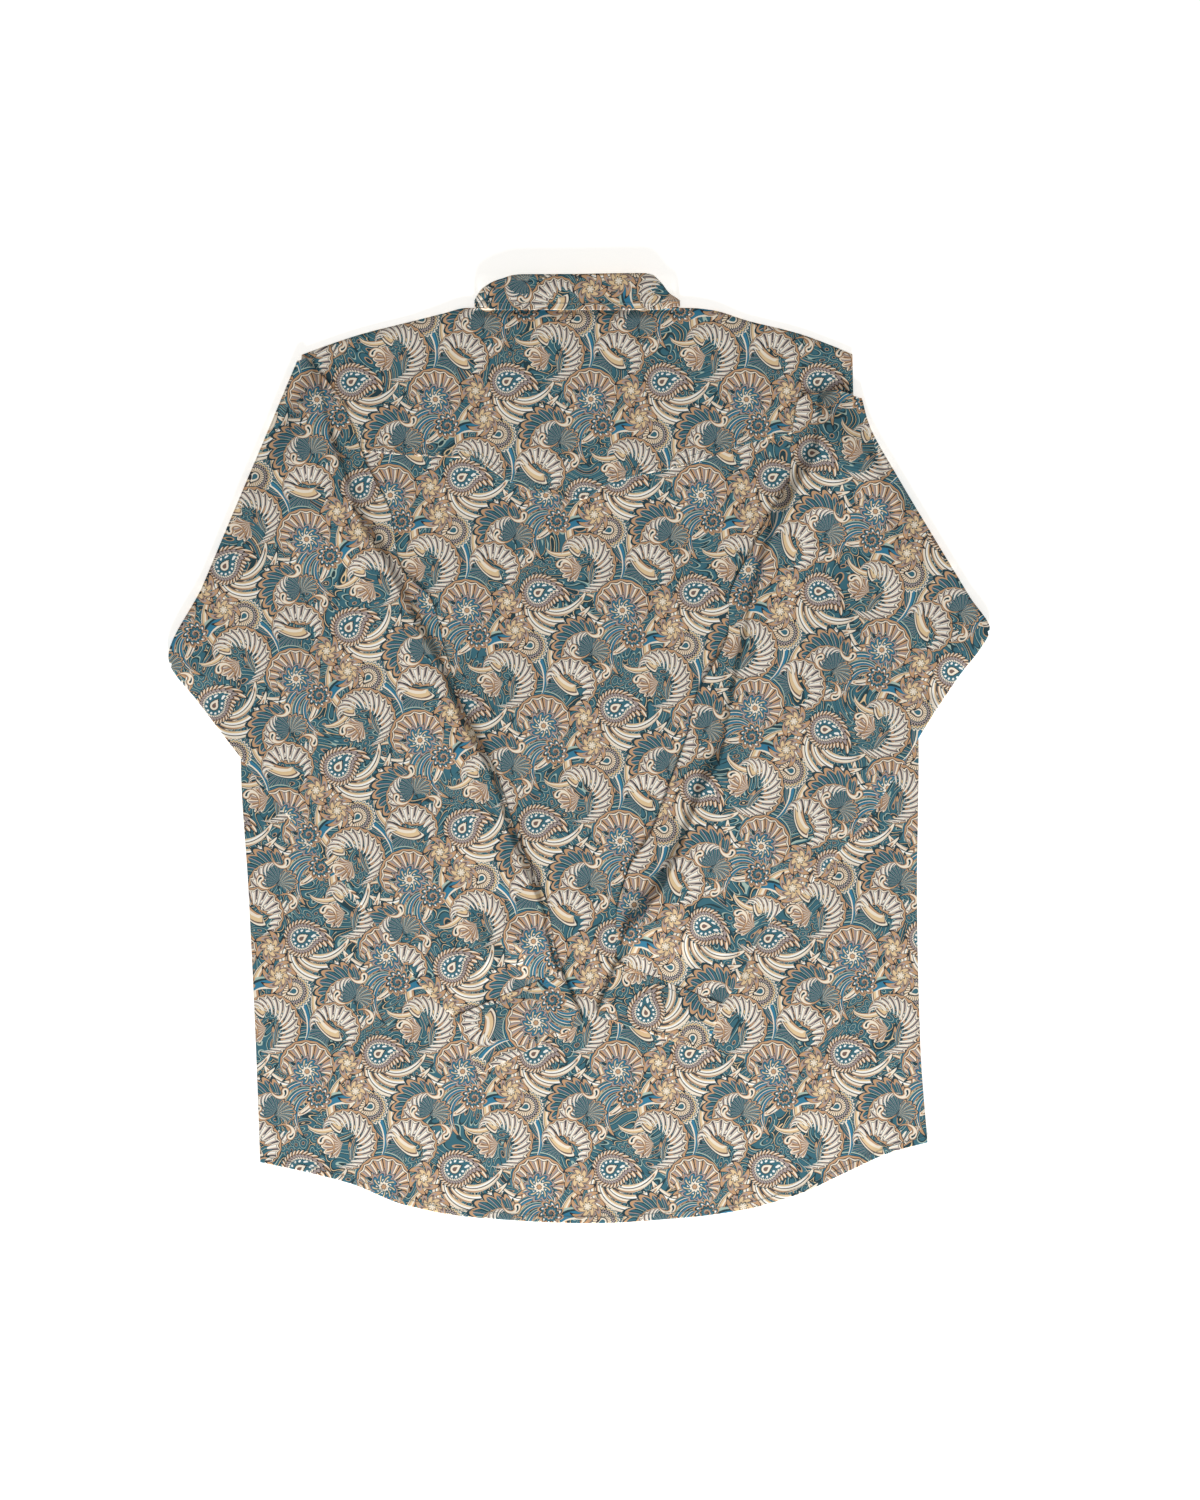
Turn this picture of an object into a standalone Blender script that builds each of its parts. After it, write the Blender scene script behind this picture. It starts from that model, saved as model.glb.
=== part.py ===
"""Western snap shirt, laid face down on a flat surface with both sleeves folded across its back.

Frame: X to the right with the collar up, Y towards the collar, Z up, floor at Z = 0. The origin lies on
the floor under the middle of the shirt. Sizes below are in millimetres and are turned to metres once, when
a mesh is made. Each cloth piece is a wall between an upper and a lower grid of points.
"""

import bmesh
import bpy
import numpy as np

MM = 0.001

# ---------------------------------------------------------------- driving sizes, millimetres
GAP = 0.3  # between pieces that touch
AIR = 0.7  # between layers of cloth that lie on each other
ARMHOLE_GAP = 0.9  # both sides of the armhole are curved, so their flat faces need this much
FRONT_WALL = 1.0
BACK_WALL = 1.2
SLEEVE_LAYER = 1.3  # a sleeve is a flattened tube, so its wall is two layers
CUFF_WALL = 3.4
FALL_WALL = 1.6
STAND_WALL = 1.3
YOKE_STEP = 0.4  # the yoke is sewn on top of the back along its lower edge

CENTRE = -2.0  # X of the front opening and of the neck
NECK_HALF = 90.0
LAP_HALF = 18.0  # each front passes the centre by this
RAMP = 80.0  # beside the lap, the layers come down to the floor over this width
SNAP_ACROSS = 11.0
SNAP_HEIGHT = 1.2
SNAP_SPACING = 92.0
SNAP_COUNT = 6
FIRST_SNAP = 286.0
NECK_SNAP = 339.0

# Side edges of the body from the hem up to the shoulder tip: side seam, underarm, armhole
UNDERARM = 71.0
EDGE_COLUMNS = ("y", "left", "right")
BODY_EDGES = (
    (-385.0, -293.5, 322.0),
    (-265.0, -298.0, 313.3),
    (-130.0, -304.5, 310.5),
    (-10.0, -311.4, 312.0),
    (71.0, -309.0, 309.5),
    (125.0, -283.5, 283.0),
    (190.0, -266.5, 266.0),
    (250.0, -259.5, 256.5),
    (320.0, -257.0, 252.0),
    (362.0, -255.5, 251.0),
)

LINE_COLUMNS = ("x", "y")
SHOULDERS = (
    (-255.5, 361.3),
    (-231.0, 370.3),
    (-198.0, 381.0),
    (-154.0, 392.0),
    (-126.0, 399.0),
    (-103.0, 404.3),
    (100.0, 404.3),
    (122.0, 402.3),
    (155.0, 392.5),
    (200.0, 381.3),
    (233.0, 369.4),
    (251.0, 361.8),
)
YOKE_SEAM = (
    (-260.0, 279.0),
    (-174.0, 270.0),
    (-100.0, 265.0),
    (-62.0, 243.0),
    (-32.0, 234.0),
    (0.0, 227.5),
    (28.0, 243.0),
    (60.0, 251.0),
    (102.0, 260.5),
    (157.0, 280.0),
    (256.0, 300.0),
)
HEM = (
    (-296.0, -381.0),
    (-252.0, -390.5),
    (-211.0, -401.0),
    (-160.0, -421.0),
    (-100.0, -432.0),
    (10.0, -437.5),
    (92.0, -433.0),
    (150.0, -425.5),
    (200.0, -411.5),
    (245.0, -391.0),
    (285.0, -373.0),
    (323.0, -362.5),
)
HEM_TUCK = 1.0  # the fronts end this far inside the back's edge

# Front neckline below the stand
FRONT_NECK = (
    (-91.0, 402.0),
    (-79.0, 366.0),
    (-59.0, 343.0),
    (-35.0, 330.0),
    (0.0, 325.0),
    (35.0, 330.0),
    (55.0, 343.0),
    (75.0, 366.0),
    (87.0, 402.0),
)

# The collar is a flattened ring. `around` runs from the centre back along the upper half, round the side and
# back along the underside to the centre front. `edge` is the Y of the fall's free edge, `fold_left` and
# `fold_right` that of its fold on each side, and `seam` that of the neckline, where the stand begins.
COLLAR_HALF = 94.5
COLLAR_HEIGHT = 10.5
COLLAR_COLUMNS = ("around", "edge", "fold_left", "fold_right", "seam")
COLLAR = (
    (0.0, 402.0, 435.2, 435.2, 404.9),
    (50.0, 402.0, 435.0, 436.0, 404.9),
    (60.0, 402.0, 434.0, 436.0, 404.9),
    (68.0, 402.0, 431.4, 435.0, 404.9),
    (76.0, 402.5, 428.8, 428.6, 404.9),
    (86.0, 404.4, 423.0, 416.5, 405.0),
    (97.5, 404.9, 411.5, 411.0, 405.1),
    (108.0, 400.5, 408.5, 408.5, 403.5),
    (119.0, 350.0, 395.0, 395.0, 373.0),
    (133.0, 288.0, 377.0, 377.0, 349.0),
    (145.0, 300.0, 369.0, 369.0, 340.0),
    (163.0, 319.0, 360.0, 360.0, 331.5),
    (185.0, 339.0, 354.0, 354.0, 326.5),
)
FALL_END = 185.0  # the leaves stop short of the centre front
STAND_END = 192.6  # the stand's ends meet there
THICKENS = 0.82  # share of the fall's depth past which it is thicker, where it turns over the stand

# Sleeves, in a frame of their own: `along` runs from the shoulder tip down the folded sleeve, `outer` and
# `inner` are the edges measured across it, away from the body's centre. The underlayer shows past the
# upper one by `ledge` along the inner edge. Down to `corner` the outer edge is the fold, under which the
# sleeve head lies between the fold and the armhole.
SLEEVE_COLUMNS = ("along", "outer", "inner", "ledge")
SLEEVES = {
    "left": {
        "side": -1.0,
        "tip": (-257.1, 360.2),
        "lean": 22.9,
        "corner": 215.0,
        "rows": (
            (10.0, 10.3, -5.0, 4.0),
            (60.0, 61.5, -20.0, 25.0),
            (110.0, 113.0, -18.0, 21.0),
            (160.0, 164.0, -21.0, 28.0),
            (215.0, 220.8, -10.0, 9.0),
            (255.0, 210.7, -24.0, 21.0),
            (305.0, 197.8, -17.0, 9.0),
            (360.0, 182.5, -12.0, 4.0),
            (425.0, 164.0, -17.0, 4.0),
            (490.0, 143.5, -12.0, 4.0),
            (545.0, 131.5, -14.0, 5.0),
            (590.0, 118.0, -5.0, 4.0),
            (614.0, 106.0, -2.0, 3.0),
        ),
    },
    "right": {
        "side": 1.0,
        "tip": (251.6, 360.2),
        "lean": 21.6,
        "corner": 190.0,
        "rows": (
            (34.0, 22.0, -3.0, 5.0),
            (56.0, 39.0, -32.0, 30.0),
            (90.0, 80.0, -25.0, 26.0),
            (130.0, 132.0, -13.0, 8.0),
            (168.0, 182.0, -18.0, 9.0),
            (190.0, 210.5, -20.0, 10.0),
            (240.0, 198.7, -25.0, 19.0),
            (287.0, 188.6, -12.0, 16.0),
            (340.0, 179.4, -19.0, 31.0),
            (385.0, 170.0, -13.0, 34.0),
            (430.0, 155.5, -12.0, 28.0),
            (475.0, 139.0, -11.0, 29.0),
            (510.0, 122.0, -18.0, 34.0),
            (545.0, 116.0, -16.0, 24.0),
            (575.0, 113.0, -7.0, 6.0),
            (598.0, 109.0, 4.0, 3.0),
        ),
    },
}
ROLL_HEIGHT = 4.6  # the soft roll along a sleeve's inner edge
ROLL_COLUMNS = ("beyond", "rise")  # distance past the ledge, share of the roll's height
ROLL = ((0.0, 0.0), (6.0, 0.8), (16.0, 1.0), (36.0, 0.62), (62.0, 0.2), (90.0, 0.0))
FOLD_BULGE = 2.2  # the outer fold swells past the layers that it joins
NOTCH = 1.0  # depth of the groove that parts the two layers of a folded edge
DROOP = 35.0  # a sleeve comes down to the floor over this width where nothing is under it

# Cuffs, in their sleeve's frame. `start` follows the sleeve's end, and `turn` is in degrees.
CUFFS = {
    "left": {"start": 614.3, "length": 52.5, "outer": 105.5, "inner": -2.0, "turn": 3.0},
    "right": {"start": 598.3, "length": 52.5, "outer": 109.0, "inner": 3.0, "turn": -3.0},
}
CUFF_CROWN = 0.8

# Soft folds, each a long low hump. On the back they are placed in X and Y, on a sleeve along and across it.
FOLD_COLUMNS = ("a", "b", "turn", "length", "half_width", "height")
BACK_FOLDS = (
    (-150.0, -300.0, 78.0, 150.0, 34.0, 1.3),
    (-40.0, -330.0, 96.0, 110.0, 30.0, 1.0),
    (170.0, -290.0, 101.0, 160.0, 36.0, 1.4),
    (255.0, -180.0, 84.0, 130.0, 28.0, 1.2),
    (20.0, 120.0, 88.0, 120.0, 32.0, 1.2),
    (-60.0, 20.0, 66.0, 90.0, 26.0, 1.0),
)
SLEEVE_FOLDS = {
    "left": (
        (150.0, 95.0, 30.0, 90.0, 26.0, 1.8),
        (300.0, 110.0, -12.0, 130.0, 30.0, 1.6),
        (450.0, 70.0, 8.0, 120.0, 24.0, 1.6),
        (560.0, 88.0, 4.0, 62.0, 8.0, 2.4),
        (566.0, 56.0, -3.0, 58.0, 8.0, 2.8),
        (572.0, 26.0, -6.0, 50.0, 8.0, 2.2),
    ),
    "right": (
        (120.0, 74.0, 52.0, 120.0, 14.0, 2.6),
        (190.0, 150.0, 46.0, 90.0, 18.0, 2.2),
        (300.0, 95.0, 12.0, 130.0, 30.0, 1.7),
        (450.0, 100.0, -6.0, 110.0, 26.0, 1.6),
        (555.0, 84.0, 5.0, 55.0, 8.0, 2.2),
        (552.0, 52.0, -4.0, 60.0, 8.0, 2.6),
    ),
}

CLOTH = (0.245, 0.235, 0.205)  # linear mean of the print
PEARL = (0.72, 0.70, 0.64)


# ---------------------------------------------------------------- numbers and curves
def columns(names, rows):
    """Each named column of a short table, as an array."""
    values = np.array(rows, dtype=float)
    return {name: values[:, i] for i, name in enumerate(names)}


def curve(knots, values, at):
    """Smooth curve through a table's rows that never swings past one: cubic pieces, whose slope at a row is
    the harmonic mean of the slopes on its two sides, or nought at a peak."""
    step = np.diff(knots)
    slope = np.diff(values) / step
    before, after = slope[:-1], slope[1:]
    same_way = before * after > 0
    tangent = np.concatenate(
        (
            slope[:1],
            np.where(same_way, 2 * before * after / np.where(same_way, before + after, 1.0), 0.0),
            slope[-1:],
        )
    )
    at = np.clip(at, knots[0], knots[-1])
    k = np.clip(np.searchsorted(knots, at) - 1, 0, len(step) - 1)
    t = (at - knots[k]) / step[k]
    start = values[k] * (1 + 2 * t) * (1 - t) ** 2 + tangent[k] * step[k] * t * (1 - t) ** 2
    end = values[k + 1] * t**2 * (3 - 2 * t) + tangent[k + 1] * step[k] * t**2 * (t - 1)
    return start + end


def rise(low, high, at):
    """Nought below low, one above high, and an S between them."""
    t = np.clip((at - low) / (high - low), 0.0, 1.0)
    return t * t * (3 - 2 * t)


def line(rows, x):
    data = columns(LINE_COLUMNS, rows)
    return curve(data["x"], data["y"], x)


def side_edge(side, y):
    data = columns(EDGE_COLUMNS, BODY_EDGES)
    return curve(data["y"], data[side], y)


def humps(rows, a, b):
    """Sum of the long soft folds of a table, each a bell across it and along it."""
    fold = columns(FOLD_COLUMNS, rows)
    a = a[..., None] - fold["a"]
    b = b[..., None] - fold["b"]
    c, s = np.cos(np.radians(fold["turn"])), np.sin(np.radians(fold["turn"]))
    lengthwise = (a * c + b * s) / (0.6 * fold["length"])
    across = (b * c - a * s) / fold["half_width"]
    return (fold["height"] * np.exp(-(lengthwise**2) - across**2)).sum(axis=-1)


# ---------------------------------------------------------------- heights of the layers
def lap_bump(x):
    """One over the closed front opening, nought beyond the ramps beside it."""
    return 1.0 - rise(LAP_HALF + 4.0, LAP_HALF + 4.0 + RAMP, abs(x - CENTRE))


def over_leaves(x, y):
    """Lift of the fronts where they lie on the collar's leaves."""
    sideways = 1.0 - rise(NECK_HALF + 12.0, NECK_HALF + 72.0, abs(x - CENTRE))
    return (FALL_WALL + GAP) * sideways * rise(215.0, 276.0, y)


def left_front_under(x, y):
    return over_leaves(x, y) + (SNAP_HEIGHT + GAP) * lap_bump(x)


def right_front_under(x, y):
    return over_leaves(x, y) + (SNAP_HEIGHT + GAP + FRONT_WALL + GAP) * lap_bump(x)


def edge_fade(x, y):
    """Nought at the body's side edges and hem, one further in, so that the folds die out there."""
    sides = rise(10.0, 70.0, x - side_edge("left", y)) * rise(10.0, 70.0, side_edge("right", y) - x)
    return sides * rise(5.0, 70.0, y - line(HEM, x))


def back_under(x, y):
    folds = humps(BACK_FOLDS, x, y) * edge_fade(x, y)
    return right_front_under(x, y) + FRONT_WALL + AIR + folds


def back_top(x, y):
    return back_under(x, y) + BACK_WALL


# ---------------------------------------------------------------- meshes
class Wall:
    """Collects the points and faces of one closed piece."""

    def __init__(self):
        self.points = []
        self.faces = []

    def add(self, xyz):
        """Adds a grid or row of points, and returns their numbers in the same arrangement."""
        xyz = np.asarray(xyz, dtype=float)
        first = sum(len(p) for p in self.points)
        self.points.append(xyz.reshape(-1, 3))
        return first + np.arange(xyz.size // 3).reshape(xyz.shape[:-1])

    def grid(self, numbers):
        for near, far in zip(numbers[:-1], numbers[1:]):
            self.strip(near, far)

    def strip(self, one, other):
        for k in range(len(one) - 1):
            self.faces.append([one[k], one[k + 1], other[k + 1], other[k]])

    def fan(self, hub, row):
        for k in range(len(row) - 1):
            self.faces.append([hub, row[k], row[k + 1]])

    def make(self, name, colour, roughness):
        mesh = bpy.data.meshes.new(name)
        points = np.concatenate(self.points) * MM
        mesh.from_pydata(points.tolist(), [], [[int(i) for i in face] for face in self.faces])
        work = bmesh.new()
        work.from_mesh(mesh)
        bmesh.ops.recalc_face_normals(work, faces=work.faces)
        if work.calc_volume(signed=True) < 0:
            bmesh.ops.reverse_faces(work, faces=work.faces)
        work.to_mesh(mesh)
        work.free()
        mesh.shade_smooth()
        mesh.set_sharp_from_angle(angle=np.radians(40))
        material = bpy.data.materials.new(name)
        material.use_nodes = True
        shader = material.node_tree.nodes["Principled BSDF"]
        shader.inputs["Base Color"].default_value = (*colour, 1.0)
        shader.inputs["Roughness"].default_value = roughness
        shader.inputs["Metallic"].default_value = 0.0
        mesh.materials.append(material)
        piece = bpy.data.objects.new(name, mesh)
        bpy.context.collection.objects.link(piece)
        return piece


def border(numbers):
    """The border of a grid of point numbers, as one closed row."""
    loop = [*numbers[0, :-1], *numbers[:-1, -1], *numbers[-1, :0:-1], *numbers[:0:-1, 0]]
    return np.array([*loop, loop[0]])


def cloth_between(name, upper, lower, notch=0.0):
    """A closed wall between two grids of points. With a notch, its rim is parted into two layers."""
    wall = Wall()
    top = wall.add(upper)
    bottom = wall.add(lower)
    wall.grid(top)
    wall.grid(bottom)
    if notch:
        middle = 0.5 * (upper + lower)
        loop = border(np.arange(middle[..., 0].size).reshape(middle.shape[:2]))[:-1]
        rim = middle.reshape(-1, 3)[loop]
        inward = middle.mean(axis=(0, 1)) - rim
        inward[:, 2] = 0.0
        rim = rim + notch * inward / np.linalg.norm(inward, axis=1, keepdims=True)
        groove = wall.add(rim)
        groove = np.array([*groove, groove[0]])
        wall.strip(border(top), groove)
        wall.strip(groove, border(bottom))
    else:
        wall.strip(border(top), border(bottom))
    return wall.make(name, CLOTH, 0.85)


def stack(x, y, z):
    return np.stack(np.broadcast_arrays(x, y, z), axis=-1)


# ---------------------------------------------------------------- body
def body_plan(across, down, top, bottom):
    """X and Y of a panel's grid. `across` runs 0 to 1 between the side edges and `down` 0 to 1 between the
    panel's top line and bottom line, each a table of X and Y."""
    u, v = np.meshgrid(across, down)
    left = side_edge("left", top[0][1] * (1 - v) + bottom[0][1] * v)
    right = side_edge("right", top[-1][1] * (1 - v) + bottom[-1][1] * v)
    x = left + (right - left) * u
    return x, line(top, x) * (1 - v) + line(bottom, x) * v


def shift(rows, by):
    return tuple((x, y + by) for x, y in rows)


def make_back():
    across = np.linspace(0, 1, 23)
    down = np.concatenate(([0.0, 0.012], np.linspace(0.05, 0.95, 21), [0.985, 1.0]))
    x, y = body_plan(across, down, shift(YOKE_SEAM, -GAP), HEM)
    cloth_between("back", stack(x, y, back_top(x, y)), stack(x, y, back_under(x, y)))


def make_yoke():
    across = np.linspace(0, 1, 23)
    down = np.array([0.0, 0.06, 0.22, 0.4, 0.6, 0.8, 0.96, 1.0])
    x, y = body_plan(across, down, SHOULDERS, YOKE_SEAM)
    cloth_between("yoke", stack(x, y, back_top(x, y) + YOKE_STEP), stack(x, y, back_under(x, y)))


def front_top_line(x):
    """The shoulder line, and inside the neck the front neckline, which leaves room for the stand."""
    return np.where(abs(x - CENTRE) < NECK_HALF - 2.0, line(FRONT_NECK, x) - 1.2, line(SHOULDERS, x))


def make_front(side):
    """A front runs from its side seam to past the centre, where the left one lies outside the right one."""
    inner = {"left": CENTRE + LAP_HALF, "right": CENTRE - LAP_HALF}[side]
    under = {"left": left_front_under, "right": right_front_under}[side]
    from_centre = np.array([253.0, 205.0, 160.0, 122.0, 96.0, 87.5, 82.5, 75.0, 64.0, 49.0, 31.0, 8.0])
    across = np.append(1.0 - (from_centre + LAP_HALF) / (from_centre[0] + LAP_HALF), 1.0)
    armhole, below = np.linspace(0.0, 0.39, 11), np.array([0.48, 0.6, 0.72, 0.84, 0.95, 1.0])
    down = np.concatenate((armhole, below))
    u, v = np.meshgrid(across, down)
    corner = {"left": -381.0, "right": -364.0}[side]
    tip = 361.0
    outer = side_edge(side, tip * (1 - v) + corner * v)
    outer = outer - np.sign(outer) * HEM_TUCK
    x = outer + (inner - outer) * u
    y = (front_top_line(x) - 0.2) * (1 - v) + (line(HEM, x) + HEM_TUCK) * v
    z = under(x, y)
    cloth_between("front_" + side, stack(x, y, z + FRONT_WALL), stack(x, y, z))


# ---------------------------------------------------------------- collar
def ring_point(around, inset):
    """X and Z on a flattened ring, at a distance from the centre back, moved inwards by `inset`."""
    radius = COLLAR_HEIGHT / 2
    flat = COLLAR_HALF - radius
    turn = np.clip((abs(around) - flat) / radius, 0.0, np.pi)
    after = np.maximum(abs(around) - flat - np.pi * radius, 0.0)
    x = np.minimum(abs(around), flat) - after + (radius - inset) * np.sin(turn)
    z = radius + (radius - inset) * np.cos(turn)
    return CENTRE + np.sign(around) * x, z


def collar_wall(name, end, steps, section, low, high):
    """A wall round the neck. `section` lists, from the low line to the high one, how far along it is and the
    insets of the wall's outer and inner faces from the ring."""
    table = columns(COLLAR_COLUMNS, COLLAR)
    around = np.concatenate((-steps[::-1], steps[1:]))
    around = around[abs(around) <= end]
    s, t = np.meshgrid(around, [row[0] for row in section], indexing="ij")
    y = low(table, s) * (1 - t) + high(table, s) * t
    faces = []
    for k in (1, 2):
        inset = np.broadcast_to([row[k] for row in section], s.shape)
        x, z = ring_point(s, inset)
        faces.append(stack(x, y, z))
    cloth_between(name, faces[0], faces[1])


def fold_line(table, s):
    """Y of the collar's fold. Its two sides differ, and meet at the centre back."""
    left = curve(table["around"], table["fold_left"], abs(s))
    return np.where(s < 0, left, curve(table["around"], table["fold_right"], abs(s)))


def make_collar():
    steps = np.concatenate(
        (
            [0.0, 18.0, 36.0, 50.0, 60.0, 68.0, 76.0, 83.0],
            np.linspace(89.25, 105.75, 6),
            [111.0, 115.0, 119.0, 126.0, 133.0, 139.0, 145.0, 154.0, 163.0, 174.0, FALL_END],
        )
    )
    thick = FALL_WALL + GAP + STAND_WALL
    fall = (
        (0.0, 0.3, FALL_WALL - 0.2),
        (0.12, 0.0, FALL_WALL),
        (0.5, 0.0, FALL_WALL),
        (THICKENS, 0.0, FALL_WALL),
        (THICKENS + 0.02, 0.0, thick),
        (0.93, 0.0, thick + 0.3),
        (1.0, 1.0, thick - 0.4),
    )
    collar_wall(
        "collar_fall",
        FALL_END,
        steps,
        fall,
        lambda table, s: curve(table["around"], table["edge"], abs(s)),
        fold_line,
    )
    outer = FALL_WALL + GAP
    stand = ((0.0, outer, outer + STAND_WALL), (1.0, outer, outer + STAND_WALL))

    def stand_top(table, s):
        """Just below where the fall thickens for its fold."""
        edge = curve(table["around"], table["edge"], abs(s))
        return edge + THICKENS * (fold_line(table, s) - edge) - 0.4

    def stand_low(table, s):
        seam = curve(table["around"], table["seam"], abs(s))
        return np.minimum(seam, stand_top(table, s) - 1.0)

    collar_wall("collar_stand", STAND_END, np.append(steps, STAND_END), stand, stand_low, stand_top)


# ---------------------------------------------------------------- sleeves and cuffs
def sleeve_to_plan(sleeve, along, across):
    lean = np.radians(sleeve["lean"])
    side = sleeve["side"]
    x = sleeve["tip"][0] - side * np.sin(lean) * along + side * np.cos(lean) * across
    y = sleeve["tip"][1] - np.cos(lean) * along - np.sin(lean) * across
    return x, y


def under_sleeve(sleeve, x, y):
    """Height of what a sleeve lies on: the body, its own head beside the body, or the floor."""
    side_name = {-1.0: "left", 1.0: "right"}[sleeve["side"]]
    table = columns(SLEEVE_COLUMNS, sleeve["rows"])
    outside = sleeve["side"] * (x - side_edge(side_name, y))
    corner_x, corner_y = sleeve_to_plan(
        sleeve, sleeve["corner"], curve(table["along"], table["outer"], sleeve["corner"])
    )
    underarm_x = side_edge(side_name, UNDERARM)
    slope = (corner_y - UNDERARM) / (corner_x - underarm_x)
    below = UNDERARM + slope * (x - underarm_x) - y
    free = rise(0.0, DROOP, outside) * rise(2.0, DROOP, below)
    return (back_top(x, y) + YOKE_STEP + AIR) * (1 - 0.93 * free)


def make_sleeve(side):
    sleeve = SLEEVES[side]
    table = columns(SLEEVE_COLUMNS, sleeve["rows"])
    start, end, corner = table["along"][0], table["along"][-1], sleeve["corner"]
    head_rows = 12
    along = np.concatenate(
        (
            np.linspace(start, corner, head_rows),
            np.linspace(corner, end - 70.0, 14)[1:],
            end - np.array([54.0, 40.0, 28.0, 18.0, 9.0, 0.0]),
        )
    )
    outer, inner, ledge = (curve(table["along"], table[name], along) for name in SLEEVE_COLUMNS[1:])
    outer = outer - FOLD_BULGE * (along <= corner)
    roll = columns(ROLL_COLUMNS, ROLL)

    # Columns of points across, from the outer edge to the inner one, closest over the roll
    width = outer - inner
    squeeze = np.minimum(1.0, width / 110.0)
    near = np.array([36.0, 22.0, 13.0, 5.0, 0.0])
    spread = np.linspace(0, 1, 10)
    across = np.empty((len(along), len(spread) + len(near) + 1))
    for i in range(len(along)):
        crest = inner[i] + squeeze[i] * ledge[i] + squeeze[i] * 52.0
        across[i, : len(spread)] = outer[i] + (crest - outer[i]) * spread
        across[i, len(spread) : -1] = inner[i] + squeeze[i] * (ledge[i] + near)
        across[i, -1] = inner[i]
    lengthwise = np.repeat(along[:, None], across.shape[1], axis=1)
    x, y = sleeve_to_plan(sleeve, lengthwise, across)
    beyond = (across - inner[:, None]) - squeeze[:, None] * ledge[:, None]
    roll_rise = curve(roll["beyond"], roll["rise"], beyond / squeeze[:, None])
    fade = rise(0.0, 45.0, lengthwise - start) * rise(0.0, 25.0, outer[:, None] - across)
    settle = 1.0 - 0.6 * rise(end - 60.0, end, lengthwise)
    under = under_sleeve(sleeve, x, y) + ROLL_HEIGHT * roll_rise * fade * settle
    under = under + humps(SLEEVE_FOLDS[side], lengthwise, across) * fade * rise(-1.0, 6.0, beyond)
    layers = SLEEVE_LAYER * (1.0 + rise(-1.0, 5.0, beyond))

    wall = Wall()
    top = wall.add(stack(x, y, under + layers))
    bottom = wall.add(stack(x, y, under))
    wall.grid(top)
    wall.grid(bottom)

    # Sleeve head: it lies on the floor from under the fold to the armhole
    share = np.linspace(0, 1, 4)[None, :]
    fold_x, fold_y = x[:head_rows, :1], y[:head_rows, :1]
    armhole_y = np.linspace(fold_y[0, 0], UNDERARM, head_rows)
    armhole_x = side_edge(side, armhole_y) + sleeve["side"] * ARMHOLE_GAP
    head_x = fold_x + (armhole_x[:, None] - fold_x) * share
    head_y = fold_y + (armhole_y[:, None] - fold_y) * share
    thick = 2 * SLEEVE_LAYER
    floor = wall.add(stack(head_x, head_y, 0.0))
    upper_head = wall.add(stack(head_x, head_y, thick)[:, 1:])
    upper_head = np.concatenate((bottom[:head_rows, :1], upper_head), axis=1)
    wall.grid(floor)
    wall.grid(upper_head)
    wall.strip(floor[:, -1], upper_head[:, -1])

    # The fold itself, which swells outwards
    away = np.stack((fold_x - head_x[:, -1:], fold_y - head_y[:, -1:]), axis=-1)[:, 0]
    away = FOLD_BULGE * away / np.linalg.norm(away, axis=1, keepdims=True)
    crown = (under + layers)[:head_rows, 0]
    bend = [
        wall.add(stack(fold_x[:, 0] + away[:, 0], fold_y[:, 0] + away[:, 1], crown * share_up))
        for share_up in (0.72, 0.28)
    ]
    wall.strip(top[:head_rows, 0], bend[0])
    wall.strip(bend[0], bend[1])
    wall.strip(bend[1], floor[:, 0])

    # Outer edge beyond the corner, parted by a groove into its two layers
    mid_z = (under + 0.5 * layers)[head_rows - 1 :, 0]
    groove_x, groove_y = sleeve_to_plan(sleeve, along[head_rows - 1 :], outer[head_rows - 1 :] - NOTCH)
    groove = wall.add(stack(groove_x, groove_y, mid_z))
    wall.strip(top[head_rows - 1 :, 0], groove)
    wall.strip(groove, bottom[head_rows - 1 :, 0])
    last = head_rows - 1
    wall.fan(groove[0], [top[last, 0], bend[0][last], bend[1][last], floor[last, 0], bottom[last, 0]])
    wall.strip(floor[last], upper_head[last])

    # Ends at the tip and at the cuff, and the inner edge
    wall.fan(bottom[0, 0], [top[0, 0], bend[0][0], bend[1][0], floor[0, 0]])
    wall.strip(floor[0], upper_head[0])
    wall.strip(top[0], bottom[0])
    wall.strip(top[:, -1], bottom[:, -1])
    wall.strip(top[-1], bottom[-1])
    wall.faces.append([top[-1, 0], groove[-1], bottom[-1, 0]])
    wall.make("sleeve_" + side, CLOTH, 0.85)


def make_cuff(side):
    sleeve, cuff = SLEEVES[side], CUFFS[side]
    share = np.array([0.0, 0.03, 0.14, 0.32, 0.5, 0.68, 0.86, 0.97, 1.0])
    down = np.array([0.0, 0.05, 0.3, 0.7, 0.95, 1.0])
    t, u = np.meshgrid(down, share, indexing="ij")
    across = cuff["outer"] + (cuff["inner"] - cuff["outer"]) * u
    skew = np.tan(np.radians(cuff["turn"])) * (across - cuff["inner"])
    along = cuff["start"] + t * (cuff["length"] + skew)
    x, y = sleeve_to_plan(sleeve, along, across)
    under = under_sleeve(sleeve, x, y)
    crown = CUFF_CROWN * np.sin(np.pi * u) * np.sin(np.pi * t)
    upper = stack(x, y, under + CUFF_WALL + crown)
    cloth_between("cuff_" + side, upper, stack(x, y, under), notch=NOTCH)


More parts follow.
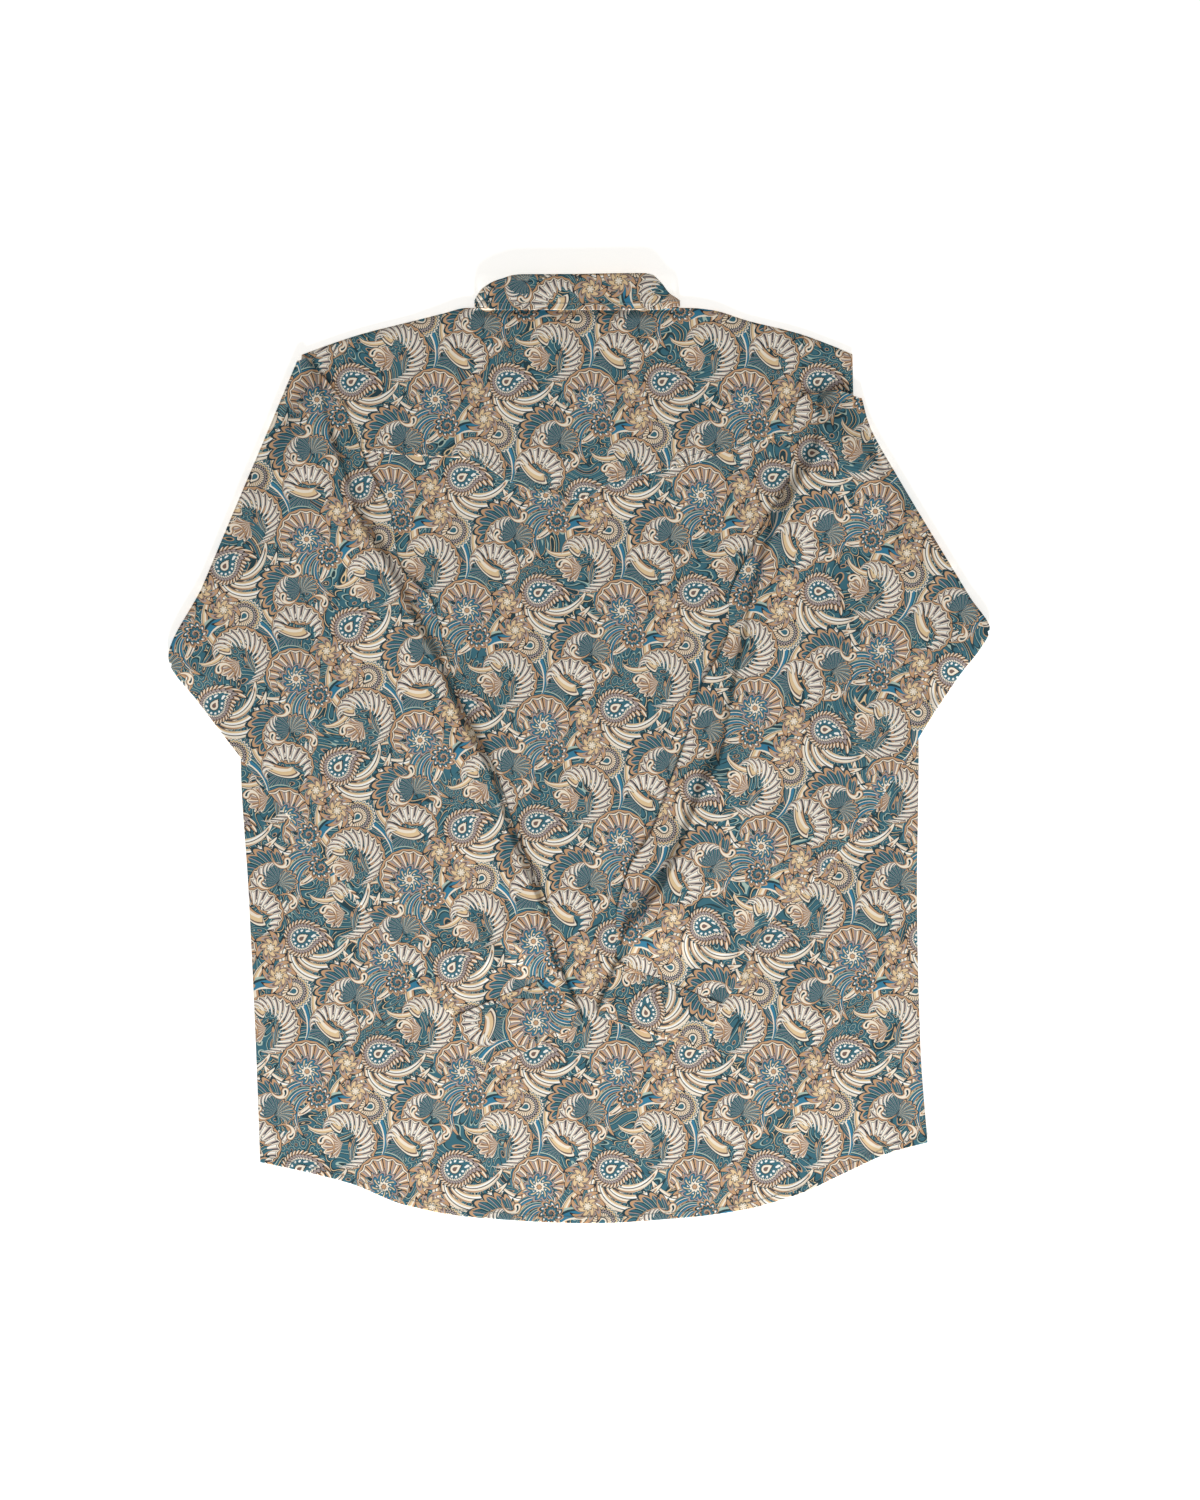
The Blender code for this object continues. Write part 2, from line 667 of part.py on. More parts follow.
# ---------------------------------------------------------------- snaps
def make_snap(name, x, y, top_z):
    """A pressed cap: a low dome that faces the floor, flat where it rests, with a rolled rim."""
    profile = ((0.0, 0.0), (0.62, 0.0), (0.86, 0.18), (1.0, 0.55), (0.96, 1.0), (0.0, 1.0))
    sides = 16
    turn = 2 * np.pi * np.arange(sides + 1) / sides
    wall = Wall()
    rings = []
    for radius, height in profile[1:-1]:
        ring = wall.add(
            stack(
                x + 0.5 * SNAP_ACROSS * radius * np.cos(turn[:-1]),
                y + 0.5 * SNAP_ACROSS * radius * np.sin(turn[:-1]),
                top_z - SNAP_HEIGHT * (1 - height),
            )
        )
        rings.append(np.array([*ring, ring[0]]))
    for near, far in zip(rings[:-1], rings[1:]):
        wall.strip(near, far)
    wall.faces.append(list(rings[0][:-1]))
    wall.faces.append(list(rings[-1][:-1]))
    return wall.make(name, PEARL, 0.3)


def make_snaps():
    for k in range(SNAP_COUNT):
        y = FIRST_SNAP - k * SNAP_SPACING
        here = left_front_under(np.array(CENTRE), np.array(y))
        make_snap(f"snap_{k + 1}", CENTRE, y, float(here) - GAP)
    make_snap("snap_neck", CENTRE, NECK_SNAP, FALL_WALL)


for thing in list(bpy.data.objects):
    bpy.data.objects.remove(thing, do_unlink=True)
make_back()
make_yoke()
for which in ("left", "right"):
    make_front(which)
    make_sleeve(which)
    make_cuff(which)
make_collar()
make_snaps()
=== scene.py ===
"""Western snap shirt of paisley cotton, laid face down with both sleeves folded across its back.

X runs to the right with the collar up, Y towards the collar, and Z up from the floor. Sizes are in
millimetres and are turned to metres when a mesh is made.
"""

import bmesh
import bpy
import numpy as np
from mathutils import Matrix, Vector


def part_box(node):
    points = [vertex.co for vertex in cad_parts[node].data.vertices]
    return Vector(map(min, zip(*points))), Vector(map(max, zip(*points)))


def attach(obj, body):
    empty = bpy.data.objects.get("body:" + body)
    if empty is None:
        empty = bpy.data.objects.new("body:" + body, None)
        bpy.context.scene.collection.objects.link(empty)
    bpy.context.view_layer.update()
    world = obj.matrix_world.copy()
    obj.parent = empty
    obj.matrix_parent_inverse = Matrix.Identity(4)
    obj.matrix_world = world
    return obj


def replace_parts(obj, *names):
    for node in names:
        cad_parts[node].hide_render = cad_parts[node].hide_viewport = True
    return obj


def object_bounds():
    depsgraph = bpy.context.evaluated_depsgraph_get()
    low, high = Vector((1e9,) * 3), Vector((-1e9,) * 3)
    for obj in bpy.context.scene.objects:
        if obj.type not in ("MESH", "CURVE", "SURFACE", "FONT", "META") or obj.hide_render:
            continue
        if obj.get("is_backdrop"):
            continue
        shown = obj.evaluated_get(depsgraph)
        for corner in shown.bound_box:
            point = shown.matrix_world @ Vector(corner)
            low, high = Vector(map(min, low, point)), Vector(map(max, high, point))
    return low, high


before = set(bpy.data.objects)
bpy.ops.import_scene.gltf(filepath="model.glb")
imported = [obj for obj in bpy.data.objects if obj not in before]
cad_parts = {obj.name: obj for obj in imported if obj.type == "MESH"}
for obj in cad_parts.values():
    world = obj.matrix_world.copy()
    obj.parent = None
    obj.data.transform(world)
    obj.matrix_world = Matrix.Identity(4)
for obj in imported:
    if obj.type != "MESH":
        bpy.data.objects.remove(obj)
cad_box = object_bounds()

# ---------------------------------------------------------------- back panel
# The back of the body with its curved shirt tail: one layer of cotton poplin, cut on the straight grain. It
# is sewn under the yoke above and to the fronts at the sides, and its hem is a narrow double turning.
MM = 0.001
BACK_WALL = 1.2
FRONT_WALL = 1.0
AIR = 0.7  # between layers that lie on each other
GAP = 0.3  # between pieces that are sewn together
LAYER = 0.7  # cloth as drawn, thicker than the real 0.25 mm so that its edges show
CENTRE = -2.0  # X of the front opening and of the neck
NECK_HALF = 90.0
LAP_HALF = 18.0
RAMP = 80.0  # beside the lap the layers come down over this width
SNAP_HEIGHT = 1.2
FALL_WALL = 1.6
LEAVES = (215.0, 276.0)  # Y over which the fronts climb on to the collar's leaves
UNDERARM = 71.0
SHOULDER_END = 361.0  # Y where the shoulders meet the sides
YOKE_STEP = 0.4

EDGE_COLUMNS = ("y", "left", "right")
BODY_EDGES = (
    (-385.0, -293.5, 322.0),
    (-265.0, -298.0, 313.3),
    (-130.0, -304.5, 310.5),
    (-10.0, -311.4, 312.0),
    (71.0, -309.0, 309.5),
    (125.0, -283.5, 283.0),
    (190.0, -266.5, 266.0),
    (250.0, -259.5, 256.5),
    (320.0, -257.0, 252.0),
    (362.0, -255.5, 251.0),
)
LINE_COLUMNS = ("x", "y")
SHOULDERS = (
    (-255.5, 361.3),
    (-231.0, 370.3),
    (-198.0, 381.0),
    (-154.0, 392.0),
    (-126.0, 399.0),
    (-103.0, 404.3),
    (100.0, 404.3),
    (122.0, 402.3),
    (155.0, 392.5),
    (200.0, 381.3),
    (233.0, 369.4),
    (251.0, 361.8),
)
YOKE_SEAM = (
    (-260.0, 279.0),
    (-174.0, 270.0),
    (-100.0, 265.0),
    (-62.0, 243.0),
    (-32.0, 234.0),
    (0.0, 227.5),
    (28.0, 243.0),
    (60.0, 251.0),
    (102.0, 260.5),
    (157.0, 280.0),
    (256.0, 300.0),
)
HEM = (
    (-296.0, -381.0),
    (-252.0, -390.5),
    (-211.0, -401.0),
    (-160.0, -421.0),
    (-100.0, -432.0),
    (10.0, -437.5),
    (92.0, -433.0),
    (150.0, -425.5),
    (200.0, -411.5),
    (245.0, -391.0),
    (285.0, -373.0),
    (323.0, -362.5),
)

# Soft folds and creases: where the middle is, its turn from the first direction in degrees, its length, half
# its width and its height, which is below nought for a trough.
FOLD_COLUMNS = ("a", "b", "turn", "length", "half_width", "height")
FOLD_REACH = 0.6  # this share of its length from its middle, a fold has faded to about a third
BACK_FOLDS = (
    (-150.0, -300.0, 78.0, 150.0, 34.0, 1.3),
    (-40.0, -330.0, 96.0, 110.0, 30.0, 1.0),
    (170.0, -290.0, 101.0, 160.0, 36.0, 1.4),
    (255.0, -180.0, 84.0, 130.0, 28.0, 1.2),
    (20.0, 120.0, 88.0, 120.0, 32.0, 1.2),
    (-60.0, 20.0, 66.0, 90.0, 26.0, 1.0),
)
BACK_CREASES = (
    (-205.0, -150.0, 74.0, 90.0, 7.0, 0.55),
    (-196.0, -152.0, 74.0, 80.0, 6.0, -0.4),
    (-120.0, -235.0, 20.0, 70.0, 8.0, 0.4),
    (128.0, -205.0, 152.0, 85.0, 7.0, 0.5),
    (250.0, -100.0, 22.0, 60.0, 12.0, -0.6),
    (296.0, -20.0, 12.0, 40.0, 9.0, -0.5),
    (232.0, -88.0, 28.0, 70.0, 8.0, 0.6),
    (205.0, -330.0, 64.0, 75.0, 8.0, 0.45),
    (-235.0, -330.0, 112.0, 85.0, 8.0, 0.45),
    (35.0, -385.0, 84.0, 60.0, 7.0, 0.35),
    (-60.0, 165.0, 98.0, 95.0, 7.0, 0.4),
    (60.0, 60.0, 80.0, 110.0, 8.0, 0.45),
    (18.0, -60.0, 96.0, 90.0, 8.0, 0.4),
)
HEM_DEPTH = 6.6
HEM_STEP = 0.45
HEM_PUCKER = 0.13
HEM_STITCHING = 5.8  # from the hem's edge
SIDE_DROP = 1.15  # the sewn sides close over the front's edge by this
SIDE_ROUND = 6.0
HEM_ROUND = 0.8
SHARP = 50.0  # degrees: edges that turn more than this look sharp


def table(names, rows):
    """Each named column of a short table, as an array."""
    return dict(zip(names, np.array(rows, dtype=float).T))


def curve(knots, values, at):
    """Smooth curve through a table's rows that never swings past one: cubic pieces, whose slope at a row is
    the harmonic mean of the slopes on its two sides, or nought at a peak."""
    step = np.diff(knots)
    slope = np.diff(values) / step
    before, after = slope[:-1], slope[1:]
    same_way = before * after > 0
    middle = np.where(same_way, 2 * before * after / np.where(same_way, before + after, 1.0), 0.0)
    tangent = np.concatenate((slope[:1], middle, slope[-1:]))
    at = np.clip(at, knots[0], knots[-1])
    k = np.clip(np.searchsorted(knots, at) - 1, 0, len(step) - 1)
    t = (at - knots[k]) / step[k]
    start = values[k] * (1 + 2 * t) * (1 - t) ** 2 + tangent[k] * step[k] * t * (1 - t) ** 2
    end = values[k + 1] * t**2 * (3 - 2 * t) + tangent[k + 1] * step[k] * t**2 * (t - 1)
    return start + end


def rise(low, high, at):
    """Nought below low, one above high, and an S between them."""
    t = np.clip((at - low) / (high - low), 0.0, 1.0)
    return t * t * (3 - 2 * t)


def line(rows, x):
    """Height of a line of the pattern at x."""
    data = table(LINE_COLUMNS, rows)
    return curve(data["x"], data["y"], x)


def side_edge(side, y):
    """X of the body's left or right edge at y."""
    data = table(EDGE_COLUMNS, BODY_EDGES)
    return curve(data["y"], data[side], y)


def folds(rows, a, b):
    """Sum of a table's folds, each a bell along it and across it."""
    fold = table(FOLD_COLUMNS, rows)
    a, b = a[..., None] - fold["a"], b[..., None] - fold["b"]
    c, s = np.cos(np.radians(fold["turn"])), np.sin(np.radians(fold["turn"]))
    lengthwise = (a * c + b * s) / (FOLD_REACH * fold["length"])
    across = (b * c - a * s) / fold["half_width"]
    return (fold["height"] * np.exp(-(lengthwise**2) - across**2)).sum(axis=-1)


def slack(x, y, amount):
    """Faint unevenness of cloth smoothed out by hand: the mean of six waves of different length, each
    running its own way, so that they never line up."""
    wave_length = np.array((61.0, 83.0, 118.0, 47.0, 160.0, 36.0))
    turn = np.radians((17.0, 74.0, 121.0, 151.0, 48.0, 98.0))
    start = np.array((0.3, 1.9, 4.0, 2.6, 5.2, 0.9))
    along = x[..., None] * np.cos(turn) + y[..., None] * np.sin(turn)
    return amount * np.sin(2 * np.pi * along / wave_length + start).mean(axis=-1)


def rounding(distance, radius):
    """How far an edge of that radius has dropped at a distance from it: a quarter of a circle."""
    t = np.clip(1.0 - distance / radius, 0.0, 1.0)
    return radius * (1.0 - np.sqrt(1.0 - t * t))


def lap_bump(x):
    """One over the closed front opening, nought beyond the ramps beside it."""
    return 1.0 - rise(LAP_HALF + 4.0, LAP_HALF + 4.0 + RAMP, abs(x - CENTRE))


def over_leaves(x, y):
    """Lift of the fronts where they lie on the collar's leaves."""
    sideways = 1.0 - rise(NECK_HALF + 12.0, NECK_HALF + 72.0, abs(x - CENTRE))
    return (FALL_WALL + GAP) * sideways * rise(*LEAVES, y)


def left_front_under(x, y):
    """Underside of the left front: raised by the collar's leaves, and by the snaps along the lap."""
    return over_leaves(x, y) + (SNAP_HEIGHT + GAP) * lap_bump(x)


def right_front_under(x, y):
    """Underside of the right front, which also lies on the left one along the lap."""
    return over_leaves(x, y) + (SNAP_HEIGHT + GAP + FRONT_WALL + GAP) * lap_bump(x)


def from_sides(x, y):
    """Distance inwards from the nearer side edge."""
    return np.minimum(x - side_edge("left", y), side_edge("right", y) - x)


def back_top(x, y):
    """Height of the back: the right front, air, the cloth and the large folds, which die out at the edges."""
    sides = rise(10.0, 70.0, x - side_edge("left", y)) * rise(10.0, 70.0, side_edge("right", y) - x)
    fade = sides * rise(5.0, 70.0, y - line(HEM, x))
    body = right_front_under(x, y) + FRONT_WALL + AIR + BACK_WALL
    return body + folds(BACK_FOLDS, x, y) * fade


def back_surface(x, y):
    """Outer face of the back: its height with the creases, the hem's turning and puckers, and edges that
    round down to the fronts."""
    hem, side = y - line(HEM, x), from_sides(x, y)
    turning = HEM_STEP * (1 - rise(HEM_DEPTH, HEM_DEPTH + 1.2, hem))
    pucker = np.exp(-(((hem - HEM_DEPTH) / 7.0) ** 2)) * np.sin(x / 1.9 + 1.7 * np.sin(x / 23.0))
    inside = rise(4.0, 26.0, side) * rise(6.0, 30.0, hem)
    z = back_top(x, y) + turning + HEM_PUCKER * pucker + inside * folds(BACK_CREASES, x, y)
    z = z + slack(x, y, 0.5) * rise(0.0, 20.0, side) - rounding(hem, HEM_ROUND)
    return z - SIDE_DROP * rounding(side, SIDE_ROUND) / SIDE_ROUND * (y < UNDERARM + 20.0)


def stack(x, y, z):
    """Points of a surface or a path from its three coordinates."""
    return np.stack(np.broadcast_arrays(x, y, z), axis=-1)


def spaced(length, near=(0.0, 0.4, 1.0, 1.9, 3.2), step=3.5):
    """Shares of a length from 0 to 1: close together at both ends, and about a step apart between."""
    near = np.array(near) / length
    middle = np.linspace(near[-1], 1 - near[-1], max(4, int(round(length / step))))
    return np.concatenate((near[:-1], middle, 1 - near[-2::-1]))


def sheet_faces(rows, columns, first=0):
    """Faces of a closed sheet whose points are an upper grid and then a lower one: both grids, and a strip
    round the border that joins them, all turned outwards."""
    top = first + np.arange(rows * columns).reshape(rows, columns)
    low = top + rows * columns
    upper = np.stack((top[:-1, :-1], top[1:, :-1], top[1:, 1:], top[:-1, 1:]), -1).reshape(-1, 4)
    lower = np.stack((low[:-1, :-1], low[:-1, 1:], low[1:, 1:], low[1:, :-1]), -1).reshape(-1, 4)
    rim = np.concatenate((top[0, :-1], top[:-1, -1], top[-1, :0:-1], top[:0:-1, 0]))
    ahead = np.roll(rim, -1)
    low_rim, low_ahead = rim + rows * columns, ahead + rows * columns
    return np.concatenate((upper, lower, np.stack((rim, ahead, low_ahead, low_rim), -1)))


def put_mesh(name, points, faces, prints=None):
    """A mesh from points in millimetres and faces of four corners. Cloth also has the print's own coordinates
    at each point, in metres of cloth."""
    mesh = bpy.data.meshes.new(name)
    mesh.vertices.add(len(points))
    mesh.vertices.foreach_set("co", (points * MM).ravel().astype(np.float32))
    mesh.loops.add(faces.size)
    mesh.loops.foreach_set("vertex_index", faces.ravel().astype(np.int32))
    mesh.polygons.add(len(faces))
    mesh.polygons.foreach_set("loop_start", np.arange(0, faces.size, 4, dtype=np.int32))
    mesh.update(calc_edges=True)
    if prints is not None:
        cloth_map = mesh.uv_layers.new(name="cloth")
        cloth_map.data.foreach_set("uv", (prints[faces.ravel()] * MM).ravel().astype(np.float32))
    mesh.validate()
    mesh.shade_smooth()
    mesh.set_sharp_from_angle(angle=np.radians(SHARP))
    piece = bpy.data.objects.new(name, mesh)
    bpy.context.scene.collection.objects.link(piece)
    return piece


def turned(x, y, degrees, start=(0.0, 0.0)):
    """The print's coordinates on a piece whose grain is turned by that angle in the plan."""
    t = np.radians(degrees)
    return np.stack((x * np.cos(t) + y * np.sin(t) + start[0], y * np.cos(t) - x * np.sin(t) + start[1]), -1)


def dress(piece, nodes, material):
    """Gives a piece its material, its CAD nodes and its body."""
    piece.data.materials.clear()
    piece.data.materials.append(material)
    if nodes:
        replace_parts(piece, *nodes)
    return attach(piece, "root")


# Cotton poplin, screen printed: matt, with flat inks, a faint sheen where it turns away, and a plain weave.
# The print is an all-over paisley in a brick repeat, in which each row is moved sideways by half. Each motif
# is drawn round its own centre, between an inner and an outer outline, in bands of ink.
REPEAT = 143.0
ROW = 106.0
DROP = 70.5
REACH = 60.0  # no motif is larger, so outlines are kept as shares of this
THREAD = 1.3  # real threads are 0.25 mm apart, too fine to show
# Painted shade: the print's colour is darkened by this share in the gaps between threads
WEAVE_SHADE = 0.12  # share of light lost between threads
INKS = {
    "deep": "#143b45",
    "teal": "#356c7b",
    "sea": "#5b93a0",
    "blue": "#2f7f9f",
    "cream": "#fbeed9",
    "sand": "#ecce9f",
    "gold": "#cda27a",
    "rust": "#7b6257",
    "lilac": "#ae9f9b",
    "white": "#fffdf6",
    "brown": "#28292e",
    "sage": "#b0c6b9",
}

# Outlines: rows of the angle from the motif's middle line in degrees, and the share of its size
CIRCLE = ((-180, 1.0), (0, 1.0))
FAN = (
    *((-180, 0.03), (-68, 0.03), (-64, 0.55), (-40, 0.84), (0, 1.0), (40, 0.9), (64, 0.6), (68, 0.03)),
    *((140, 0.03),),
)
DROP_SHAPE = (
    *((-180, 0.52), (-60, 0.56), (-30, 0.64), (-12, 0.82), (0, 1.0), (12, 0.86), (30, 0.68), (60, 0.58)),
)
TENDRIL = (
    *((-180, 0.2), (-60, 0.22), (-30, 0.34), (-12, 0.64), (0, 1.0), (12, 0.64), (30, 0.34), (60, 0.22)),
)
RIB = (
    *((-180, 0.64), (-120, 0.64), (-80, 0.76), (-40, 0.92), (0, 0.98), (40, 1.0), (80, 0.94), (115, 0.8)),
    *((140, 0.64),),
)
BARB = (
    *((-180, 0.64), (-120, 0.64), (-80, 0.52), (-40, 0.36), (0, 0.3), (40, 0.3), (80, 0.4), (115, 0.58)),
    *((140, 0.64),),
)
ARC_OUT = ((-180, 0.74), (-86, 0.74), (-56, 0.86), (-16, 0.97), (24, 1.0), (54, 0.92), (78, 0.74))
ARC_IN = ((-180, 0.74), (-86, 0.74), (-56, 0.78), (-16, 0.78), (24, 0.76), (54, 0.74), (78, 0.74))

# Bands of ink: where each starts, as a share of the way across, and its ink, or None for what lies under it
PEBBLE = (
    *((0.0, "sand"), (0.08, "deep"), (0.2, "gold"), (0.24, "teal"), (0.4, "deep"), (0.46, "sage")),
    *((0.5, "teal"), (0.64, "deep"), (0.7, "sand"), (0.735, "deep"), (0.86, "teal"), (0.95, "sage")),
)
TEAL_BARB = (
    *((0.0, "deep"), (0.12, "sand"), (0.22, "teal"), (0.46, "deep"), (0.52, "gold")),
    *((0.6, "teal"), (0.8, "sea"), (0.92, "cream")),
)
DARK_BARB = (
    *((0.0, "deep"), (0.16, "teal"), (0.4, "deep"), (0.5, "lilac"), (0.6, "teal"), (0.84, "deep")),
    *((0.92, "sage"),),
)
WARM_BARB = ((0.0, "brown"), (0.12, "gold"), (0.3, "cream"), (0.5, "rust"), (0.58, "lilac"), (0.8, "gold"))
LEAF = (
    *((0.0, "deep"), (0.14, "gold"), (0.26, "cream"), (0.46, "brown"), (0.54, "white"), (0.72, "sand")),
    *((0.86, "rust"),),
)
COOL_LEAF = (
    *((0.0, "deep"), (0.1, "sage"), (0.2, "teal"), (0.46, "cream"), (0.54, "deep"), (0.6, "blue")),
    *((0.84, "gold"), (0.92, "deep")),
)
PALE_BARB = (
    *((0.0, "brown"), (0.14, "lilac"), (0.3, "cream"), (0.52, "white"), (0.7, "rust"), (0.76, "cream")),
    *((0.9, "lilac"),),
)
GOLD_EDGE = ((0.0, "brown"), (0.05, "teal"), (0.86, "gold"), (0.93, "deep"), (0.99, None))
PALE_EDGE = ((0.0, "brown"), (0.05, "gold"), (0.88, "cream"), (0.94, "deep"), (0.99, None))
PLUME = (
    *((0.0, None), (0.02, "deep"), (0.06, "gold"), (0.16, "brown"), (0.2, "cream"), (0.27, "deep")),
    *((0.32, "cream"), (0.9, "deep"), (0.98, None)),
)
HORN = (
    *((0.0, None), (0.05, "brown"), (0.14, "gold"), (0.3, "cream"), (0.5, "sand"), (0.72, "rust")),
    *((0.8, "cream"), (0.9, "deep"), (0.97, None)),
)
SICKLE = ((0.0, None), (0.06, "cream"), (0.24, "blue"), (0.66, "deep"), (0.8, "sage"), (0.95, None))
EYED_DROP = (
    *((0.0, "rust"), (0.1, "cream"), (0.2, "brown"), (0.24, "teal"), (0.5, "cream"), (0.56, "brown")),
    *((0.6, "lilac"), (0.7, "brown"), (0.74, "gold"), (0.9, "deep"), (0.97, None)),
)
BEADED_DROP = (
    *((0.0, "teal"), (0.14, "cream"), (0.22, "brown"), (0.28, "gold"), (0.42, "cream"), (0.5, "deep")),
    *((0.56, "lilac"), (0.7, "deep"), (0.75, "sand"), (0.84, "teal"), (0.9, "cream"), (0.97, None)),
)
ROSETTE = (
    *((0.0, "gold"), (0.14, "brown"), (0.18, "cream"), (0.34, "teal"), (0.72, "blue"), (0.8, "brown")),
    *((0.84, "lilac"), (0.94, "rust"), (0.99, None)),
)
SHELL = ((0.0, "rust"), (0.12, "cream"), (0.82, "brown"), (0.86, "gold"), (0.98, None))
PETALS = (
    *((0.0, "cream"), (0.2, "brown"), (0.26, "sand"), (0.5, "rust"), (0.6, "lilac"), (0.7, "gold")),
    *((0.88, "brown"), (0.97, None)),
)
CURL = ((0.0, "deep"), (0.26, "cream"), (0.66, "gold"), (0.86, "brown"), (0.97, None))


def linear(hex_colour):
    """An sRGB hex colour as the linear colour that a shader takes."""
    value = np.array([int(hex_colour[i : i + 2], 16) / 255 for i in (1, 3, 5)])
    value = np.where(value <= 0.04045, value / 12.92, ((value + 0.055) / 1.055) ** 2.4)
    return (*value, 1.0)


def start_material(name):
    """An empty material, whose nodes add then puts in."""
    global tree
    material = bpy.data.materials.new(name)
    material.use_nodes = True
    tree = material.node_tree
    tree.nodes.clear()
    return material


def add(kind, *inputs, named=(), inks=(), radii=(), **settings):
    """Adds a node to the material in hand. Its inputs come in order, or as pairs of a socket's name and its
    value, and each is a number, a colour, or the node or output that it is linked to. Settings come by name,
    and then a ramp's bands of ink, or a curve's radii at even steps."""
    made = tree.nodes.new("ShaderNode" + kind)
    for name, value in settings.items():
        setattr(made, name, value)
    for socket, value in (*zip(made.inputs, inputs), *((made.inputs[name], value) for name, value in named)):
        if isinstance(value, (bpy.types.Node, bpy.types.NodeSocket)):
            tree.links.new(getattr(value, "outputs", [value])[0], socket)
        elif value is not None:
            socket.default_value = value
    for k, (start, ink) in enumerate(inks):
        made.color_ramp.interpolation = "CONSTANT"
        band = made.color_ramp.elements[k] if k < 2 else made.color_ramp.elements.new(start)
        band.position, band.color, band.alpha = start, linear(INKS[ink or "deep"]), float(ink is not None)
    for k, radius in enumerate(radii):
        points, at = made.mapping.curves[0].points, k / (len(radii) - 1)
        if at in (0.0, 1.0):
            points[-int(at)].location = (at, radius)
        else:
            points.new(at, radius)
    if len(radii):
        made.mapping.update()
    return made


def outline(size, turn, rows, scallops=0, depth=0.0, steps=120):
    """A closed outline of that size in millimetres, turned by that many degrees, with scallops along it. It
    is kept as radii at even steps of a full turn from -180 degrees."""
    angle, radius = np.array(rows, dtype=float).T
    angle, radius = np.append(angle, angle[0] + 360.0), np.append(radius, radius[0])
    at = np.linspace(-180.0, 180.0, steps + 1) - turn
    shape = curve(angle, radius, angle[0] + (at - angle[0]) % 360.0)
    return size / REACH * shape * (1 - depth * (1 - abs(np.sin(np.pi * scallops * at / 360.0))))


def place(x, y):
    """Round a motif's centre, in every repeat: the share of a full turn, and the distance by the reach."""
    centre = (-(x / REPEAT + y * DROP / REPEAT / ROW), -y / ROW, 0)
    near = add("VectorMath", lattice, centre)
    near = add("VectorMath", near, (0.5, 0.5, 0.5), (-0.5, -0.5, -0.5), operation="WRAP")
    to_across = (REPEAT / REACH, -DROP / REACH, 0)
    across = add("VectorMath", near, to_across, operation="DOT_PRODUCT").outputs["Value"]
    up = add("VectorMath", near, (0, ROW / REACH, 0), operation="DOT_PRODUCT").outputs["Value"]
    distance = add("VectorMath", add("CombineXYZ", across, up, 0.0), operation="LENGTH").outputs["Value"]
    angle = add("Math", up, across, operation="ARCTAN2")
    return add("Math", angle, 0.5 / np.pi, 0.5, operation="MULTIPLY_ADD"), distance


def motif(spot, outer, bands, inner=None, curl=0.0, barbs=None, pearls=None):
    """Prints one motif over what is there. Its share q is 0 at the inner outline or the centre, and 1 at the
    outer one. Curl turns it further the farther out. Barbs are stripes that run outwards, slanting with q,
    between two shares q, and each rounds its own end. Pearls are a ring of dots at one share q."""
    global printed
    share, distance = spot
    if curl:
        share = add("Math", add("Math", distance, curl, share, operation="MULTIPLY_ADD"), operation="FRACT")
    high = add("FloatCurve", 1.0, share, radii=outer)
    q = add("Math", distance, high, operation="DIVIDE")
    if inner is not None:
        low = add("FloatCurve", 1.0, share, radii=inner)
        width = add("Math", high, low, operation="SUBTRACT")
        q = add("Math", add("Math", distance, low, operation="SUBTRACT"), width, operation="DIVIDE")
    band = q
    if barbs:
        count, slant, roundness, stripes, first, last = barbs
        slope = add("Math", q, slant, 50.0, operation="MULTIPLY_ADD")
        stripe = add("Math", share, float(count), slope, operation="MULTIPLY_ADD")
        stripe = add("Math", stripe, operation="FRACT")
    if barbs and roundness:
        off_middle = add("Math", stripe, 0.5, operation="SUBTRACT")
        square = add("Math", off_middle, off_middle, operation="MULTIPLY")
        rounded = add("Math", square, 4 * roundness, 1.0, operation="MULTIPLY_ADD")
        band = add("Math", q, rounded, operation="MULTIPLY")
    colour = add("ValToRGB", band, inks=bands)
    cover = colour.outputs["Alpha"]
    if barbs:
        inside = add("Math", band, 0.5 * (first + last), 0.5 * (last - first), operation="COMPARE")
        colour = add("MixRGB", inside, colour, add("ValToRGB", stripe, inks=stripes))
    if pearls:
        count, level, size, ink = pearls
        turn = add("Math", add("Math", share, float(count), operation="MULTIPLY"), operation="FRACT")
        turn = add("Math", turn, 0.5, operation="SUBTRACT")
        off = add("Math", q, count / 2 / np.pi / level, -count / 2 / np.pi, operation="MULTIPLY_ADD")
        gap = add("VectorMath", add("CombineXYZ", turn, off, 0.0), operation="LENGTH").outputs["Value"]
        colour = add("MixRGB", add("Math", gap, size, operation="LESS_THAN"), colour, linear(INKS[ink]))
    printed = add("MixRGB", cover, printed, colour)


cotton = start_material("printed_cotton_poplin")
cloth_map = add("UVMap", uv_map="cloth").outputs[0]
to_u = (1 / REPEAT / MM, DROP / REPEAT / ROW / MM, 0)
lattice_u = add("VectorMath", cloth_map, to_u, operation="DOT_PRODUCT").outputs["Value"]
lattice_v = add("VectorMath", cloth_map, (0, 1 / ROW / MM, 0), operation="DOT_PRODUCT").outputs["Value"]
lattice = add("CombineXYZ", lattice_u, lattice_v, 0.0)

